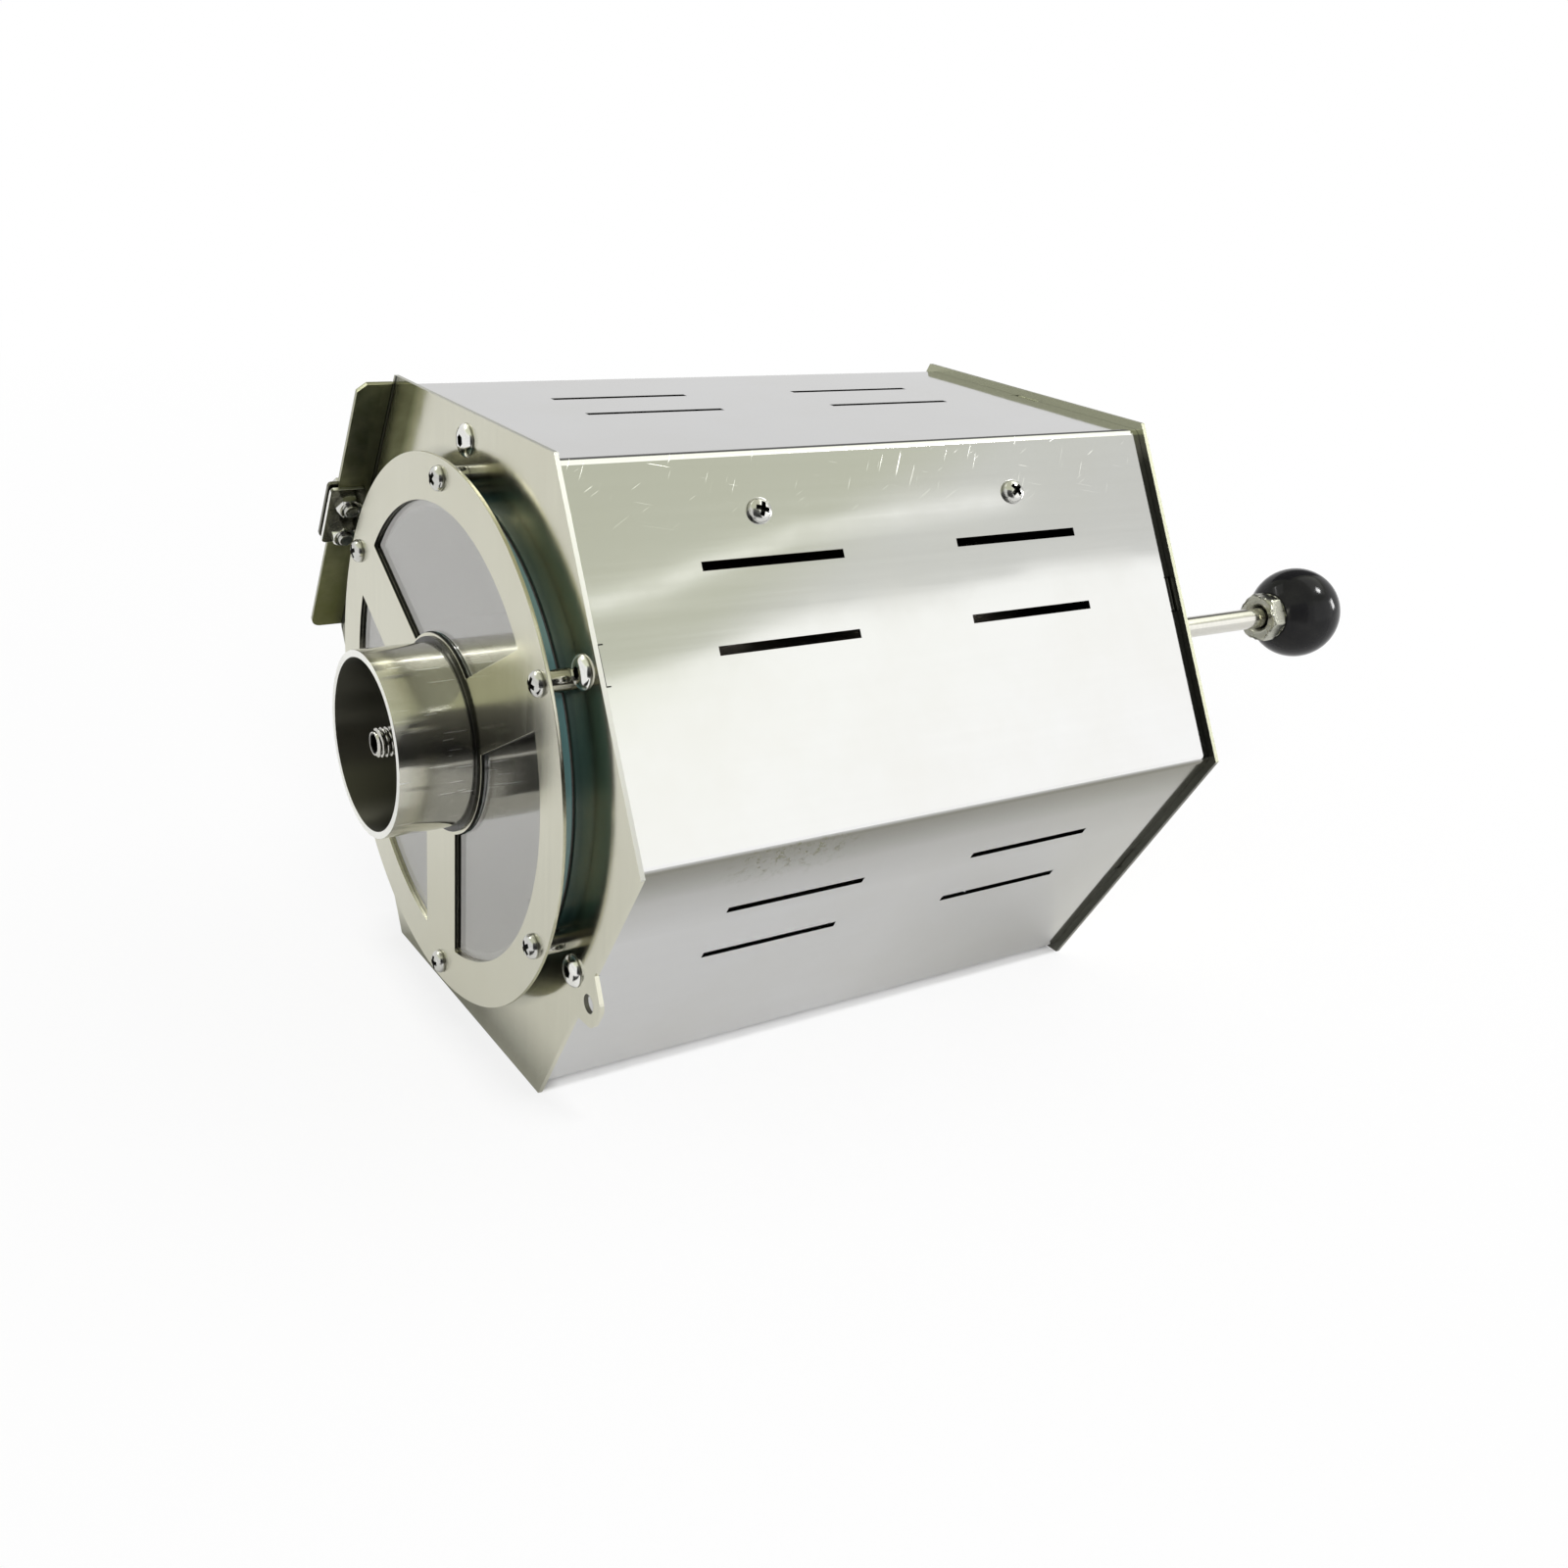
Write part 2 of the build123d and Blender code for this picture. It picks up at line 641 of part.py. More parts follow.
def drum_shell():
    """Rolled drum, open in front with its rim turned in."""
    shell = turned(
        (DRUM_R - DRUM_LIP, DRUM_FRONT),
        (DRUM_R, DRUM_FRONT),
        (DRUM_R, DRUM_BACK),
        (DRUM_INSIDE, DRUM_BACK),
        (DRUM_INSIDE, DRUM_FRONT + DRUM_T),
        (DRUM_R - DRUM_LIP, DRUM_FRONT + DRUM_T),
    )
    rim = shell.edges().filter_by(GeomType.CIRCLE).group_by(Axis.Y)[0].sort_by(SortBy.RADIUS)
    shell = fillet(rim[-1], DRUM_T * 0.9)
    holes = [rivet_hole(angle, y) for angle, y in vane_rivet_places() + arm_rivet_places()]
    return shell - holes


def vane_rivet_places():
    """Angles and distances of the rivets in the vanes' feet."""
    turn = math.degrees(VANE_FOOT / 2 / DRUM_INSIDE)
    inset = (VANE_BACK - VANE_FRONT) / 8
    return [
        (angle + turn, y) for angle in VANE_ANGLES for y in (VANE_FRONT + inset, VANE_BACK - inset)
    ]


def arm_rivet_places():
    """Angles and distances of the rivets in the front arms' feet."""
    return [(angle, ARM_Y + ARM_T + ARM_FOOT / 2) for angle in ARM_ANGLES]


def rivet_hole(angle, y):
    """The material of a rivet's hole in the drum's wall."""
    hole = set_screw(RIVET_R, DRUM_INSIDE - 2 * VANE_T, DRUM_R + DRUM_T)
    return around(angle, Pos(0, y, 0) * hole)


def foot_sector(width):
    """A strip's outline against the drum's inner wall, at +x and to one side of it."""
    sector = math.degrees(width / DRUM_INSIDE)
    wall = DRUM_INSIDE - FIXED_FIT
    path = CenterArc((0, 0), wall - VANE_T / 2, 0, sector)
    return trace(path, VANE_T)


def drum_back():
    """Pressed disc with a rim that fits in the drum."""
    wall = DRUM_INSIDE - FIXED_FIT
    inner = wall - DISC_T
    disc = turned(
        (SPINDLE_R + HOLE_PLAY, DISC_Y),
        (wall, DISC_Y),
        (wall, DRUM_BACK),
        (inner, DRUM_BACK),
        (inner, DISC_Y + DISC_T),
        (SPINDLE_R + HOLE_PLAY, DISC_Y + DISC_T),
    )
    edge = disc.edges().filter_by(GeomType.CIRCLE).group_by(Axis.Y)[0].sort_by(SortBy.RADIUS)
    disc = fillet(edge[-1], DISC_T)
    hole = drilled(M4_R + HOLE_PLAY, DRUM_HUB_SCREW_CIRCLE, DISC_Y, DISC_Y + DISC_T)
    return disc - [around(angle, hole) for angle in HOUSING_SCREW_ANGLES]


def drum_vanes():
    """Angle-section lifting vanes along the drum's inner wall."""
    wall = DRUM_INSIDE - FIXED_FIT
    fin = Pos(wall - VANE_HEIGHT / 2 - VANE_T / 4, VANE_T / 2) * Rectangle(VANE_HEIGHT, VANE_T)
    section = fin + foot_sector(VANE_FOOT)
    vane = slab(section, VANE_FRONT, VANE_BACK)
    vanes = [around(angle, vane) for angle in VANE_ANGLES]
    holes = [rivet_hole(angle, y) for angle, y in vane_rivet_places()]
    return group(vane - holes for vane in vanes)


def rivets(places, grip):
    """Round-headed rivets through the drum's wall, with heads on both sides."""
    rivet = Rot(0, 0, 90) * domed_screw(RIVET_HEAD_R, RIVET_HEAD_H, RIVET_R, grip, rim=0.2)
    rivet += Pos(-grip - 0.3, 0, 0) * extrude(Plane.YZ * Circle(RIVET_HEAD_R), 0.3)
    return group(around(angle, Pos(DRUM_R, y, 0) * rivet) for angle, y in places)


def drum_front_arms():
    """Three-armed plate that centres the drum's front half, with bent feet."""
    reach = DRUM_INSIDE - FIXED_FIT
    arm = Pos(reach / 2 - VANE_T / 4, 0) * Rectangle(reach - VANE_T, ARM_WIDTH)
    outline = Circle(2 * ARM_BOSS_R) + [Rot(0, 0, angle) * arm for angle in ARM_ANGLES]
    plate = slab(outline - Circle(SPINDLE_R + THREAD_PLAY), ARM_Y, ARM_Y + ARM_T)
    half_turn = math.degrees(ARM_WIDTH / DRUM_INSIDE) / 2
    foot = Rot(0, 0, -half_turn) * foot_sector(ARM_WIDTH)
    foot = slab(foot, ARM_Y, ARM_Y + ARM_T + ARM_FOOT)
    boss_end = ARM_Y + ARM_T + ARM_BOSS_LENGTH
    boss = sleeve(SPINDLE_R + THREAD_PLAY, ARM_BOSS_R, ARM_Y + ARM_T, boss_end)
    arms = plate + boss + [around(angle, foot) for angle in ARM_ANGLES]
    arms -= [rivet_hole(angle, y) for angle, y in arm_rivet_places()]
    set_hole = set_screw(M5_R + THREAD_PLAY, 0, ARM_BOSS_R + 1)
    return arms - around(90, Pos(0, arm_set_screw_y(), 0) * set_hole)


def arm_set_screw_y():
    """Where the front arms' set screw stands along the spindle."""
    return ARM_Y + ARM_T + ARM_BOSS_LENGTH / 2


def drum_hub():
    """Flanged hub behind the drum's back, fixed to the spindle by set screws."""
    bore = SPINDLE_R + THREAD_PLAY
    seat = DISC_Y + DISC_T
    hub = turned(
        (bore, seat),
        (DRUM_HUB_R, seat),
        (DRUM_HUB_R, seat + DRUM_HUB_T),
        (DRUM_BOSS_R + 2, seat + DRUM_HUB_T),
        (DRUM_BOSS_R, seat + DRUM_HUB_T + 2),
        (DRUM_BOSS_R, HUB_BACK),
        (bore, HUB_BACK),
    )
    tapped = drilled(M4_R + THREAD_PLAY, DRUM_HUB_SCREW_CIRCLE, seat, seat + DRUM_HUB_T)
    hub -= [around(angle, tapped) for angle in HOUSING_SCREW_ANGLES]
    set_hole = set_screw(M5_R + THREAD_PLAY, 0, DRUM_BOSS_R + 1)
    return hub - [around(angle, Pos(0, hub_set_screw_y(), 0) * set_hole) for angle in (0, 90)]


def hub_set_screw_y():
    """Where the hub's set screws stand along the spindle."""
    return HUB_BACK - DRUM_BOSS_R / 2


def hub_screws():
    """Pan-head screws from inside the drum into the hub."""
    screw = domed_screw(M4_HEAD_R, M4_HEAD_H, M4_R, DISC_T + DRUM_HUB_T)
    placed = Pos(DRUM_HUB_SCREW_CIRCLE, DISC_Y, 0) * screw
    return group(around(angle, placed) for angle in HOUSING_SCREW_ANGLES)


def set_screws():
    """Grub screws that lock the hub, the front arms and the collar on the spindle."""
    inner = SPINDLE_R + THREAD_PLAY
    hub = Pos(0, hub_set_screw_y(), 0) * set_screw(M5_R, inner, DRUM_BOSS_R - 0.5)
    arms = Pos(0, arm_set_screw_y(), 0) * set_screw(M5_R, inner, ARM_BOSS_R - 0.5)
    collar = Pos(0, COLLAR_FRONT + COLLAR_T / 2, 0) * set_screw(M4_R, inner, COLLAR_R - 0.5)
    return group([hub, around(90, hub), around(90, arms), around(90, collar)])


def spindle():
    """Rod on the axis: threaded front end with a relief, bearing length and a thinner rear end."""
    rod = turned(
        (0, SPINDLE_FRONT),
        (THREAD_R - 1, SPINDLE_FRONT),
        (THREAD_R, SPINDLE_FRONT + 1),
        (THREAD_R, THREAD_END),
        (RELIEF_R, THREAD_END),
        (RELIEF_R, THREAD_END + RELIEF_LENGTH),
        (SPINDLE_R, THREAD_END + RELIEF_LENGTH),
        (SPINDLE_R, ROD_START - 0.5),
        (ROD_R, ROD_START),
        (ROD_R, ROD_END),
        (0, ROD_END),
    )
    return rod - slab(hexagon(SPINDLE_KEY), SPINDLE_FRONT, SPINDLE_FRONT + SPINDLE_KEY_DEPTH)


def thrust_washers():
    """Washers between the rotor and the rear bearing, one at each end."""
    bore = SPINDLE_R + THREAD_PLAY
    inside = sleeve(bore, WASHER_R, HUB_BACK, HUB_BACK + WASHER_T)
    outside = sleeve(bore, WASHER_R, COLLAR_FRONT - WASHER_T, COLLAR_FRONT)
    return group([inside, outside])


def shaft_collar():
    """Collar behind the rear bearing that keeps the spindle in place."""
    collar = sleeve(SPINDLE_R + THREAD_PLAY, COLLAR_R, COLLAR_FRONT, COLLAR_FRONT + COLLAR_T)
    rims = collar.edges().filter_by(GeomType.CIRCLE).group_by(SortBy.RADIUS)[-1]
    collar = chamfer(rims, 0.6)
    set_hole = set_screw(M4_R + THREAD_PLAY, 0, COLLAR_R + 1)
    return collar - around(90, Pos(0, COLLAR_FRONT + COLLAR_T / 2, 0) * set_hole)


def ball_lock_nut():
    """Lock nut in front of the ball, its bore opened out and its corners turned off."""
    front = LOCK_NUT_BACK - LOCK_NUT_H
    piece = slab(hexagon(LOCK_NUT), front, LOCK_NUT_BACK)
    corner = LOCK_NUT / 2 / COS30
    envelope = turned(
        (0, front),
        (LOCK_NUT / 2, front),
        (corner, front + 1.2),
        (corner, LOCK_NUT_BACK - 1.2),
        (LOCK_NUT / 2, LOCK_NUT_BACK),
        (0, LOCK_NUT_BACK),
    )
    bore = turned(
        (0, front),
        (ROD_R + 2, front),
        (ROD_R + THREAD_PLAY, front + 2),
        (ROD_R + THREAD_PLAY, LOCK_NUT_BACK),
        (0, LOCK_NUT_BACK),
    )
    return (piece & envelope) - bore


def ball_knob():
    """Ball with a flat face, bored for the end of the rod."""
    ball = Pos(0, BALL_Y, 0) * Sphere(BALL_R)
    cap = slab(Rectangle(3 * BALL_R, 3 * BALL_R), BALL_Y - 2 * BALL_R, LOCK_NUT_BACK)
    return ball - cap - slab(Circle(ROD_R + THREAD_PLAY), LOCK_NUT_BACK, ROD_END)


PIECES = {
    "front_plate": front_plate(),
    "rear_plate": rear_plate(),
    "casing_shell": casing_shell(),
    "top_baffle": top_baffle(),
    "shell_screws": shell_screws(),
    "shell_nuts": shell_nuts(),
    "front_tab_screws": tab_screws(0, 1),
    "front_tab_nuts": tab_nuts(PLATE_T + SHELL_T, 1),
    "rear_tab_screws": tab_screws(REAR_BACK, -1),
    "rear_tab_nuts": tab_nuts(REAR_FACE - SHELL_T, -1),
    "wing_clip": wing_clip(),
    "clip_bolts": clip_bolts(),
    "clip_nuts": clip_nuts(),
    "front_spider": front_spider(),
    "spacer_posts": spacer_posts(),
    "spider_screws": spider_screws(),
    "post_screws": post_screws(),
    "sight_glass": sight_glass(),
    "glass_seal": glass_seal(),
    "feed_tube": feed_tube(),
    "tube_retaining_ring": tube_retaining_ring(),
    "bush_carrier": bush_carrier(),
    "front_bush": front_bush(),
    "bearing_flange": bearing_flange(),
    "bearing_boss": bearing_boss(),
    "rear_bush": rear_bush(),
    "housing_screws": housing_screws(),
    "housing_nuts": housing_nuts(),
    "drum_shell": drum_shell(),
    "drum_back": drum_back(),
    "drum_vanes": drum_vanes(),
    "vane_rivets": rivets(vane_rivet_places(), DRUM_T + VANE_T + 0.1),
    "drum_front_arms": drum_front_arms(),
    "arm_rivets": rivets(arm_rivet_places(), DRUM_T + VANE_T + 0.1),
    "drum_hub": drum_hub(),
    "hub_screws": hub_screws(),
    "set_screws": set_screws(),
    "spindle": spindle(),
    "thrust_washers": thrust_washers(),
    "shaft_collar": shaft_collar(),
    "ball_lock_nut": ball_lock_nut(),
    "ball_knob": ball_knob(),
}

os.makedirs("parts", exist_ok=True)
for name, shape in PIECES.items():
    export_step(Pos(0, LENGTH_SHIFT, APOTHEM) * shape, f"parts/{name}.step")
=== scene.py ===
import math

import bmesh
import bpy
from mathutils import Matrix, Vector


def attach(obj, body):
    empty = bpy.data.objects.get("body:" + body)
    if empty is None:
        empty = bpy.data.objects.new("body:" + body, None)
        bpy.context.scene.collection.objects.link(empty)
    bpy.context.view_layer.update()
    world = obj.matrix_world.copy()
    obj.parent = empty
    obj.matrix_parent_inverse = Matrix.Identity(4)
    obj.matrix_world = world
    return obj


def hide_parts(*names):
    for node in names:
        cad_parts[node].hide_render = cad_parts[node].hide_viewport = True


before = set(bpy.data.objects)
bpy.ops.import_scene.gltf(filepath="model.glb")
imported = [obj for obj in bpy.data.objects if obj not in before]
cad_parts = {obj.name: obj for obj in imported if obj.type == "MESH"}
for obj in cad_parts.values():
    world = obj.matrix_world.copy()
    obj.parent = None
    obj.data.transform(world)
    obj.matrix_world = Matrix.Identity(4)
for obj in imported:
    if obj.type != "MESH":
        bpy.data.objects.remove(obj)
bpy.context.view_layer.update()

# Casing shell: one thin stainless sheet folded round five sides of the hexagon, open below.
# Laser-cut and bent, satin from the mill, a little wavy and bowed between its folds. It is
# scuffed along the upper right fold. Below the right-hand fold the lower right face is partly
# stained and partly painted with shade, and towards the rear it has more painted shade.
AXIS_HEIGHT = 0.103923
UPPER_RIGHT, LOWER_RIGHT = 30, -30
SHELL_COLOUR = (0.63, 0.63, 0.625)
HANDLED_TINT = (0.94, 0.93, 0.9)
SCUFF_COLOUR = (0.95, 0.95, 0.92)
STAIN_AND_SHADE_COLOUR = (0.2, 0.195, 0.155)
SPOT_COLOUR = (0.2, 0.2, 0.125)
GRAIN_HEIGHT = 0.0003
# A range is the stretch over which a tone comes or goes, in metres; a third number is its strength.
UPPER_SKIN = (0.1, 0.1006)
LOWER_SKIN = (0.0975, 0.098)
SCUFFED_RISE = (0.034, 0.056)
STAIN_AND_SHADE_RISE = ((0.022, 0.058, 0.55), (0.042, 0.057, 0.7))
SHADED_BACK = (-0.08, 0.0, 0.35)
SPOTS_START, SPOTS_END = (-0.165, -0.15), (-0.128, -0.112)
SPOTS_RISE = (0.04, 0.054)
# Each bow: its ends along the axis, and how far the sheet leans up there.
BOW_AHEAD = (-0.189, -0.119, 0.022, 0.003)
BOW_BEHIND = (-0.108, -0.03, 0.0, -0.0075)
# Each set of scuffs: its turn in degrees, the length and width of a mark, and how rare they are.
SCUFFS = (
    (62, (0.016, 0.0007), 0.725),
    (28, (0.012, 0.0006), 0.735),
    (-12, (0.02, 0.0005), 0.74),
)


def put(tree, kind, inputs=None, **settings):
    """Adds a shader node, sets it and feeds its inputs with values or other nodes' outputs."""
    made = tree.nodes.new("ShaderNode" + kind)
    for name, value in settings.items():
        setattr(made, name, value)
    for name, value in (inputs or {}).items():
        if isinstance(value, bpy.types.NodeSocket):
            tree.links.new(value, made.inputs[name])
        else:
            made.inputs[name].default_value = value
    return made


def sums(tree, operation, a, b):
    """One arithmetic step between two shader values."""
    return put(tree, "Math", {0: a, 1: b}, operation=operation).outputs[0]


def product(tree, first, *others):
    """Shader values multiplied together."""
    for other in others:
        first = sums(tree, "MULTIPLY", first, other)
    return first


def spread(tree, value, low, high, to_low, to_high):
    """Carries a value from one range to another and holds it there."""
    given = {"Value": value, "From Min": low, "From Max": high, "To Min": to_low, "To Max": to_high}
    return put(tree, "MapRange", given).outputs["Result"]


def rising(tree, value, low, high, full=1.0):
    """A share that grows from nothing to full between two values."""
    return spread(tree, value, low, high, 0.0, full)


def falling(tree, value, low, high, full=1.0):
    """A share that shrinks from full to nothing between two values."""
    return spread(tree, value, low, high, full, 0.0)


def blended(tree, share, first, second):
    """Mixes two colours by a share."""
    given = {"Fac": share}
    for name, colour in (("Color1", first), ("Color2", second)):
        given[name] = (*colour, 1.0) if isinstance(colour, tuple) else colour
    return put(tree, "MixRGB", given).outputs["Color"]


def vector(tree, **parts):
    """A vector from the parts that are given, with nought for the others."""
    return put(tree, "CombineXYZ", parts).outputs["Vector"]


def noise(tree, at, scale, detail, rough=0.5, twist=0.0):
    """Cloudy noise, mostly near one half."""
    given = {"Vector": at, "Scale": scale, "Detail": detail, "Roughness": rough, "Distortion": twist}
    return put(tree, "TexNoise", given).outputs["Fac"]


def on_object(tree):
    """A point's place in the object's frame."""
    return put(tree, "TexCoord").outputs["Object"]


def place_on(tree):
    """A point's place in the object's frame, apart as X, Y and Z."""
    return put(tree, "SeparateXYZ", {"Vector": on_object(tree)}).outputs


def new_finish(name):
    """A new finish: the material, its tree of shader nodes and its main shader."""
    material = bpy.data.materials.new(name)
    material.use_nodes = True
    return material, material.node_tree, material.node_tree.nodes["Principled BSDF"]


def steel(name, colour, gloss, grain, depth=0.03, patch=26.0, waves=0.0, contrast=0.94, brushed=0.0):
    """Stainless steel: a rolled or turned grain, handled patches and an uneven gloss.

    gloss is the roughness of clean and handled places, grain the lines per metre along x, y, z,
    waves how far a sheet is out of flat, brushed how far polishing round the axis smears reflections.
    """
    material, tree, shader = new_finish(name)
    shader.inputs["Metallic"].default_value = 1.0
    at = on_object(tree)
    stretched = put(tree, "Mapping", {"Vector": at, "Scale": grain}).outputs["Vector"]
    lines = noise(tree, stretched, scale=1.0, detail=4.0, rough=0.6)
    worn = rising(tree, noise(tree, at, scale=patch, detail=6.0, rough=0.6), 0.42, 0.68)
    dull = tuple(contrast * part for part in colour)
    base = blended(tree, rising(tree, lines, 0.3, 0.7), dull, colour)
    handled = tuple(part * tint for part, tint in zip(colour, HANDLED_TINT))
    base = blended(tree, product(tree, worn, 0.5), base, handled)
    tree.links.new(base, shader.inputs["Base Color"])
    rough = spread(tree, worn, 0.0, 1.0, *gloss)
    rough = sums(tree, "ADD", rough, spread(tree, lines, 0.3, 0.7, -0.015, 0.015))
    tree.links.new(rough, shader.inputs["Roughness"])
    given = {"Strength": depth, "Distance": GRAIN_HEIGHT, "Height": lines}
    bump = put(tree, "Bump", given).outputs["Normal"]
    if waves:
        swell = noise(tree, at, scale=11.0, detail=1.5)
        given = {"Strength": 1.0, "Distance": waves, "Height": swell, "Normal": bump}
        bump = put(tree, "Bump", given).outputs["Normal"]
    tree.links.new(bump, shader.inputs["Normal"])
    if brushed:
        shader.inputs["Anisotropic"].default_value = brushed
        shader.inputs["Anisotropic Rotation"].default_value = 0.25
        around = put(tree, "Tangent", direction_type="RADIAL", axis="Y").outputs["Tangent"]
        tree.links.new(around, shader.inputs["Tangent"])
    return material


def lay_over(material, share, colour, rough):
    """Lays another tone and gloss over a finish, as far as a share says."""
    tree = material.node_tree
    base = tree.nodes["Principled BSDF"].inputs["Base Color"]
    tree.links.new(blended(tree, share, base.links[0].from_socket, colour), base)
    gloss = tree.nodes["Principled BSDF"].inputs["Roughness"]
    mixed = put(tree, "Mix", {0: share, 2: gloss.links[0].from_socket, 3: rough}).outputs[0]
    tree.links.new(mixed, gloss)


def on_face(tree, angle):
    """How far out from the axis, along it, and up the slope of one face of the hexagon a point lies."""
    at = place_on(tree)
    up = sums(tree, "SUBTRACT", at["Z"], AXIS_HEIGHT)
    c, s = math.cos(math.radians(angle)), math.sin(math.radians(angle))
    out = sums(tree, "ADD", product(tree, at["X"], c), product(tree, up, s))
    rise = sums(tree, "SUBTRACT", product(tree, up, c), product(tree, at["X"], s))
    return out, at["Y"], rise


def marks(tree, flat, turn, size, rarity):
    """Thin straight scratches in one direction: 1 on a scratch and 0 beside it."""
    given = {"Vector": flat, "Rotation": (0.0, 0.0, math.radians(turn)), "Scale": (*size, 1.0)}
    ruled = put(tree, "Mapping", given, vector_type="TEXTURE").outputs["Vector"]
    return rising(tree, noise(tree, ruled, scale=1.0, detail=1.0), rarity, rarity + 0.03)


def bowed(material, lean):
    """Leans a finish a little, where a sheet is bowed between its folds or screws."""
    tree = material.node_tree
    facing = put(tree, "NewGeometry").outputs["Normal"]
    facing = put(tree, "VectorMath", {0: facing, 1: lean}, operation="ADD").outputs["Vector"]
    facing = put(tree, "VectorMath", {0: facing}, operation="NORMALIZE").outputs["Vector"]
    bumps = [made for made in tree.nodes if made.type == "BUMP"]
    grain = next(made for made in bumps if not made.inputs["Normal"].is_linked)
    tree.links.new(facing, grain.inputs["Normal"])


def dress(node, material):
    """Gives a CAD node its finish."""
    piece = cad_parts[node]
    piece.data.materials.clear()
    piece.data.materials.append(material)
    return piece


shell_satin = steel("shell_satin", SHELL_COLOUR, gloss=(0.065, 0.1), grain=(300, 8, 300),
                    depth=0.0015, patch=18.0, waves=0.0004, contrast=0.985)
tree = shell_satin.node_tree
out, back, rise = on_face(tree, UPPER_RIGHT)
upper = rising(tree, out, *UPPER_SKIN)
lean = sums(tree, "ADD", spread(tree, back, *BOW_AHEAD), spread(tree, back, *BOW_BEHIND))
lean = product(tree, lean, upper)
slope = math.radians(UPPER_RIGHT)
up_slope = vector(tree, X=product(tree, lean, -math.sin(slope)), Z=product(tree, lean, math.cos(slope)))
bowed(shell_satin, up_slope)
flat = vector(tree, X=back, Y=rise)
by_fold = product(tree, rising(tree, rise, *SCUFFED_RISE), upper)
for turn, size, rarity in SCUFFS:
    scuff = product(tree, marks(tree, flat, turn, size, rarity), by_fold)
    lay_over(shell_satin, scuff, SCUFF_COLOUR, 0.3)
out, back, rise = on_face(tree, LOWER_RIGHT)
lower = falling(tree, place_on(tree)["Z"], AXIS_HEIGHT - 0.0006, AXIS_HEIGHT + 0.0006)
lower = product(tree, lower, rising(tree, out, *LOWER_SKIN))
# Partly a real stain, partly painted shade: the lower right face darker below its fold.
for stain_and_shade_range in STAIN_AND_SHADE_RISE:
    stain_and_shade = product(tree, rising(tree, rise, *stain_and_shade_range), lower)
    lay_over(shell_satin, stain_and_shade, STAIN_AND_SHADE_COLOUR, 0.2)
# Painted shade: the lower right face darker towards the rear.
stain_and_shade = product(tree, rising(tree, back, *SHADED_BACK), lower)
lay_over(shell_satin, stain_and_shade, STAIN_AND_SHADE_COLOUR, 0.16)
spots = noise(tree, vector(tree, X=back, Y=rise), scale=280.0, detail=8.0, rough=0.75)
spots = rising(tree, spots, 0.52, 0.6, 0.85)
near = product(tree, rising(tree, back, *SPOTS_START), falling(tree, back, *SPOTS_END))
near = product(tree, near, rising(tree, rise, *SPOTS_RISE), lower)
lay_over(shell_satin, product(tree, near, spots), SPOT_COLOUR, 0.45)
dress("casing_shell", shell_satin)

# Front plate: a stainless plate with the drum's mouth, two lugs and one edge folded forward.
# Bright-rolled, so it mirrors the ring and posts in front of it, and a little bowed between
# its screws. Round the mouth it is painted with shade, which darkens its reflection of the
# ring's dark back. Its folded edge is darker and olive inside, with painted shade in the
# crease and corner of the fold, and beside the fold a painted darker reflection of it.
FRONT_FACE = -0.194
UPPER_LEFT, LOWER_LEFT = 150, 210
PLATE_COLOUR = (0.665, 0.655, 0.54)
FLANGE_OLIVE = (0.48, 0.485, 0.32)
FLANGE_OLIVE_DARK = (0.36, 0.367, 0.235)
FLANGE_OLIVE_LOW = (0.1, 0.105, 0.018)
CREASE_SHADE = (0.1, 0.102, 0.062)
FOLD_CORNER_SHADE = (0.028, 0.029, 0.018)
FOLD_REFLECTION_SHADE = (0.18, 0.184, 0.12)
MOUTH_SHADE = (0.09, 0.1, 0.09)
SHADE_IN_CORNERS = (0.035, 0.034, 0.028)
CUT_EDGE = (0.56, 0.56, 0.52)
ROLLED = {"grain": (380, 14, 14), "depth": 0.015, "patch": 16.0, "waves": 0.0002}
# Just off a face, and half the width of the line along which a tone changes there.
PROUD = 0.00004
HAIR = 0.00002
PLATE_RIM = (0.10385, 0.1039)
FLANGE_INSIDE = (0.1024, 0.1036)
FLANGE_FACE = (0.1027, 0.103)
FLANGE_LOW_END = (-0.02, 0.05, 0.85)
FOLD_REFLECTION_RUN_ON = (0.083, 0.088, 0.85)
CREASE_BACK, CREASE_OUT = (-0.1985, -0.1955, 0.6), (0.097, 0.1005)
CORNER_BACK, CORNER_OUT = (-0.1949, -0.1947), (0.1014, 0.1017)
MOUTH_SHADE_FADES = (0.084, 0.092, 0.75)
BOW_RIGHT, BOW_UP = (0.03, 0.06, 0.026), (-0.075, -0.055)
LUG_FACES = (LOWER_RIGHT, LOWER_LEFT)
LUG_HOLE_OUT = AXIS_HEIGHT + 0.0028
LUG_HOLE_WALL = (0.00302, 0.0031, 0.85)


def from_axis(tree):
    """How far a point lies from the drum's axis."""
    at = place_on(tree)
    up = sums(tree, "SUBTRACT", at["Z"], AXIS_HEIGHT)
    squares = sums(tree, "ADD", product(tree, at["X"], at["X"]), product(tree, up, up))
    return sums(tree, "POWER", squares, 0.5)


def ahead_of(tree, back, y):
    """1 in front of a plane across the axis and 0 behind it."""
    return falling(tree, back, y - HAIR, y + HAIR)


def behind(tree, back, y):
    """1 behind a plane across the axis and 0 in front of it."""
    return rising(tree, back, y - HAIR, y + HAIR)


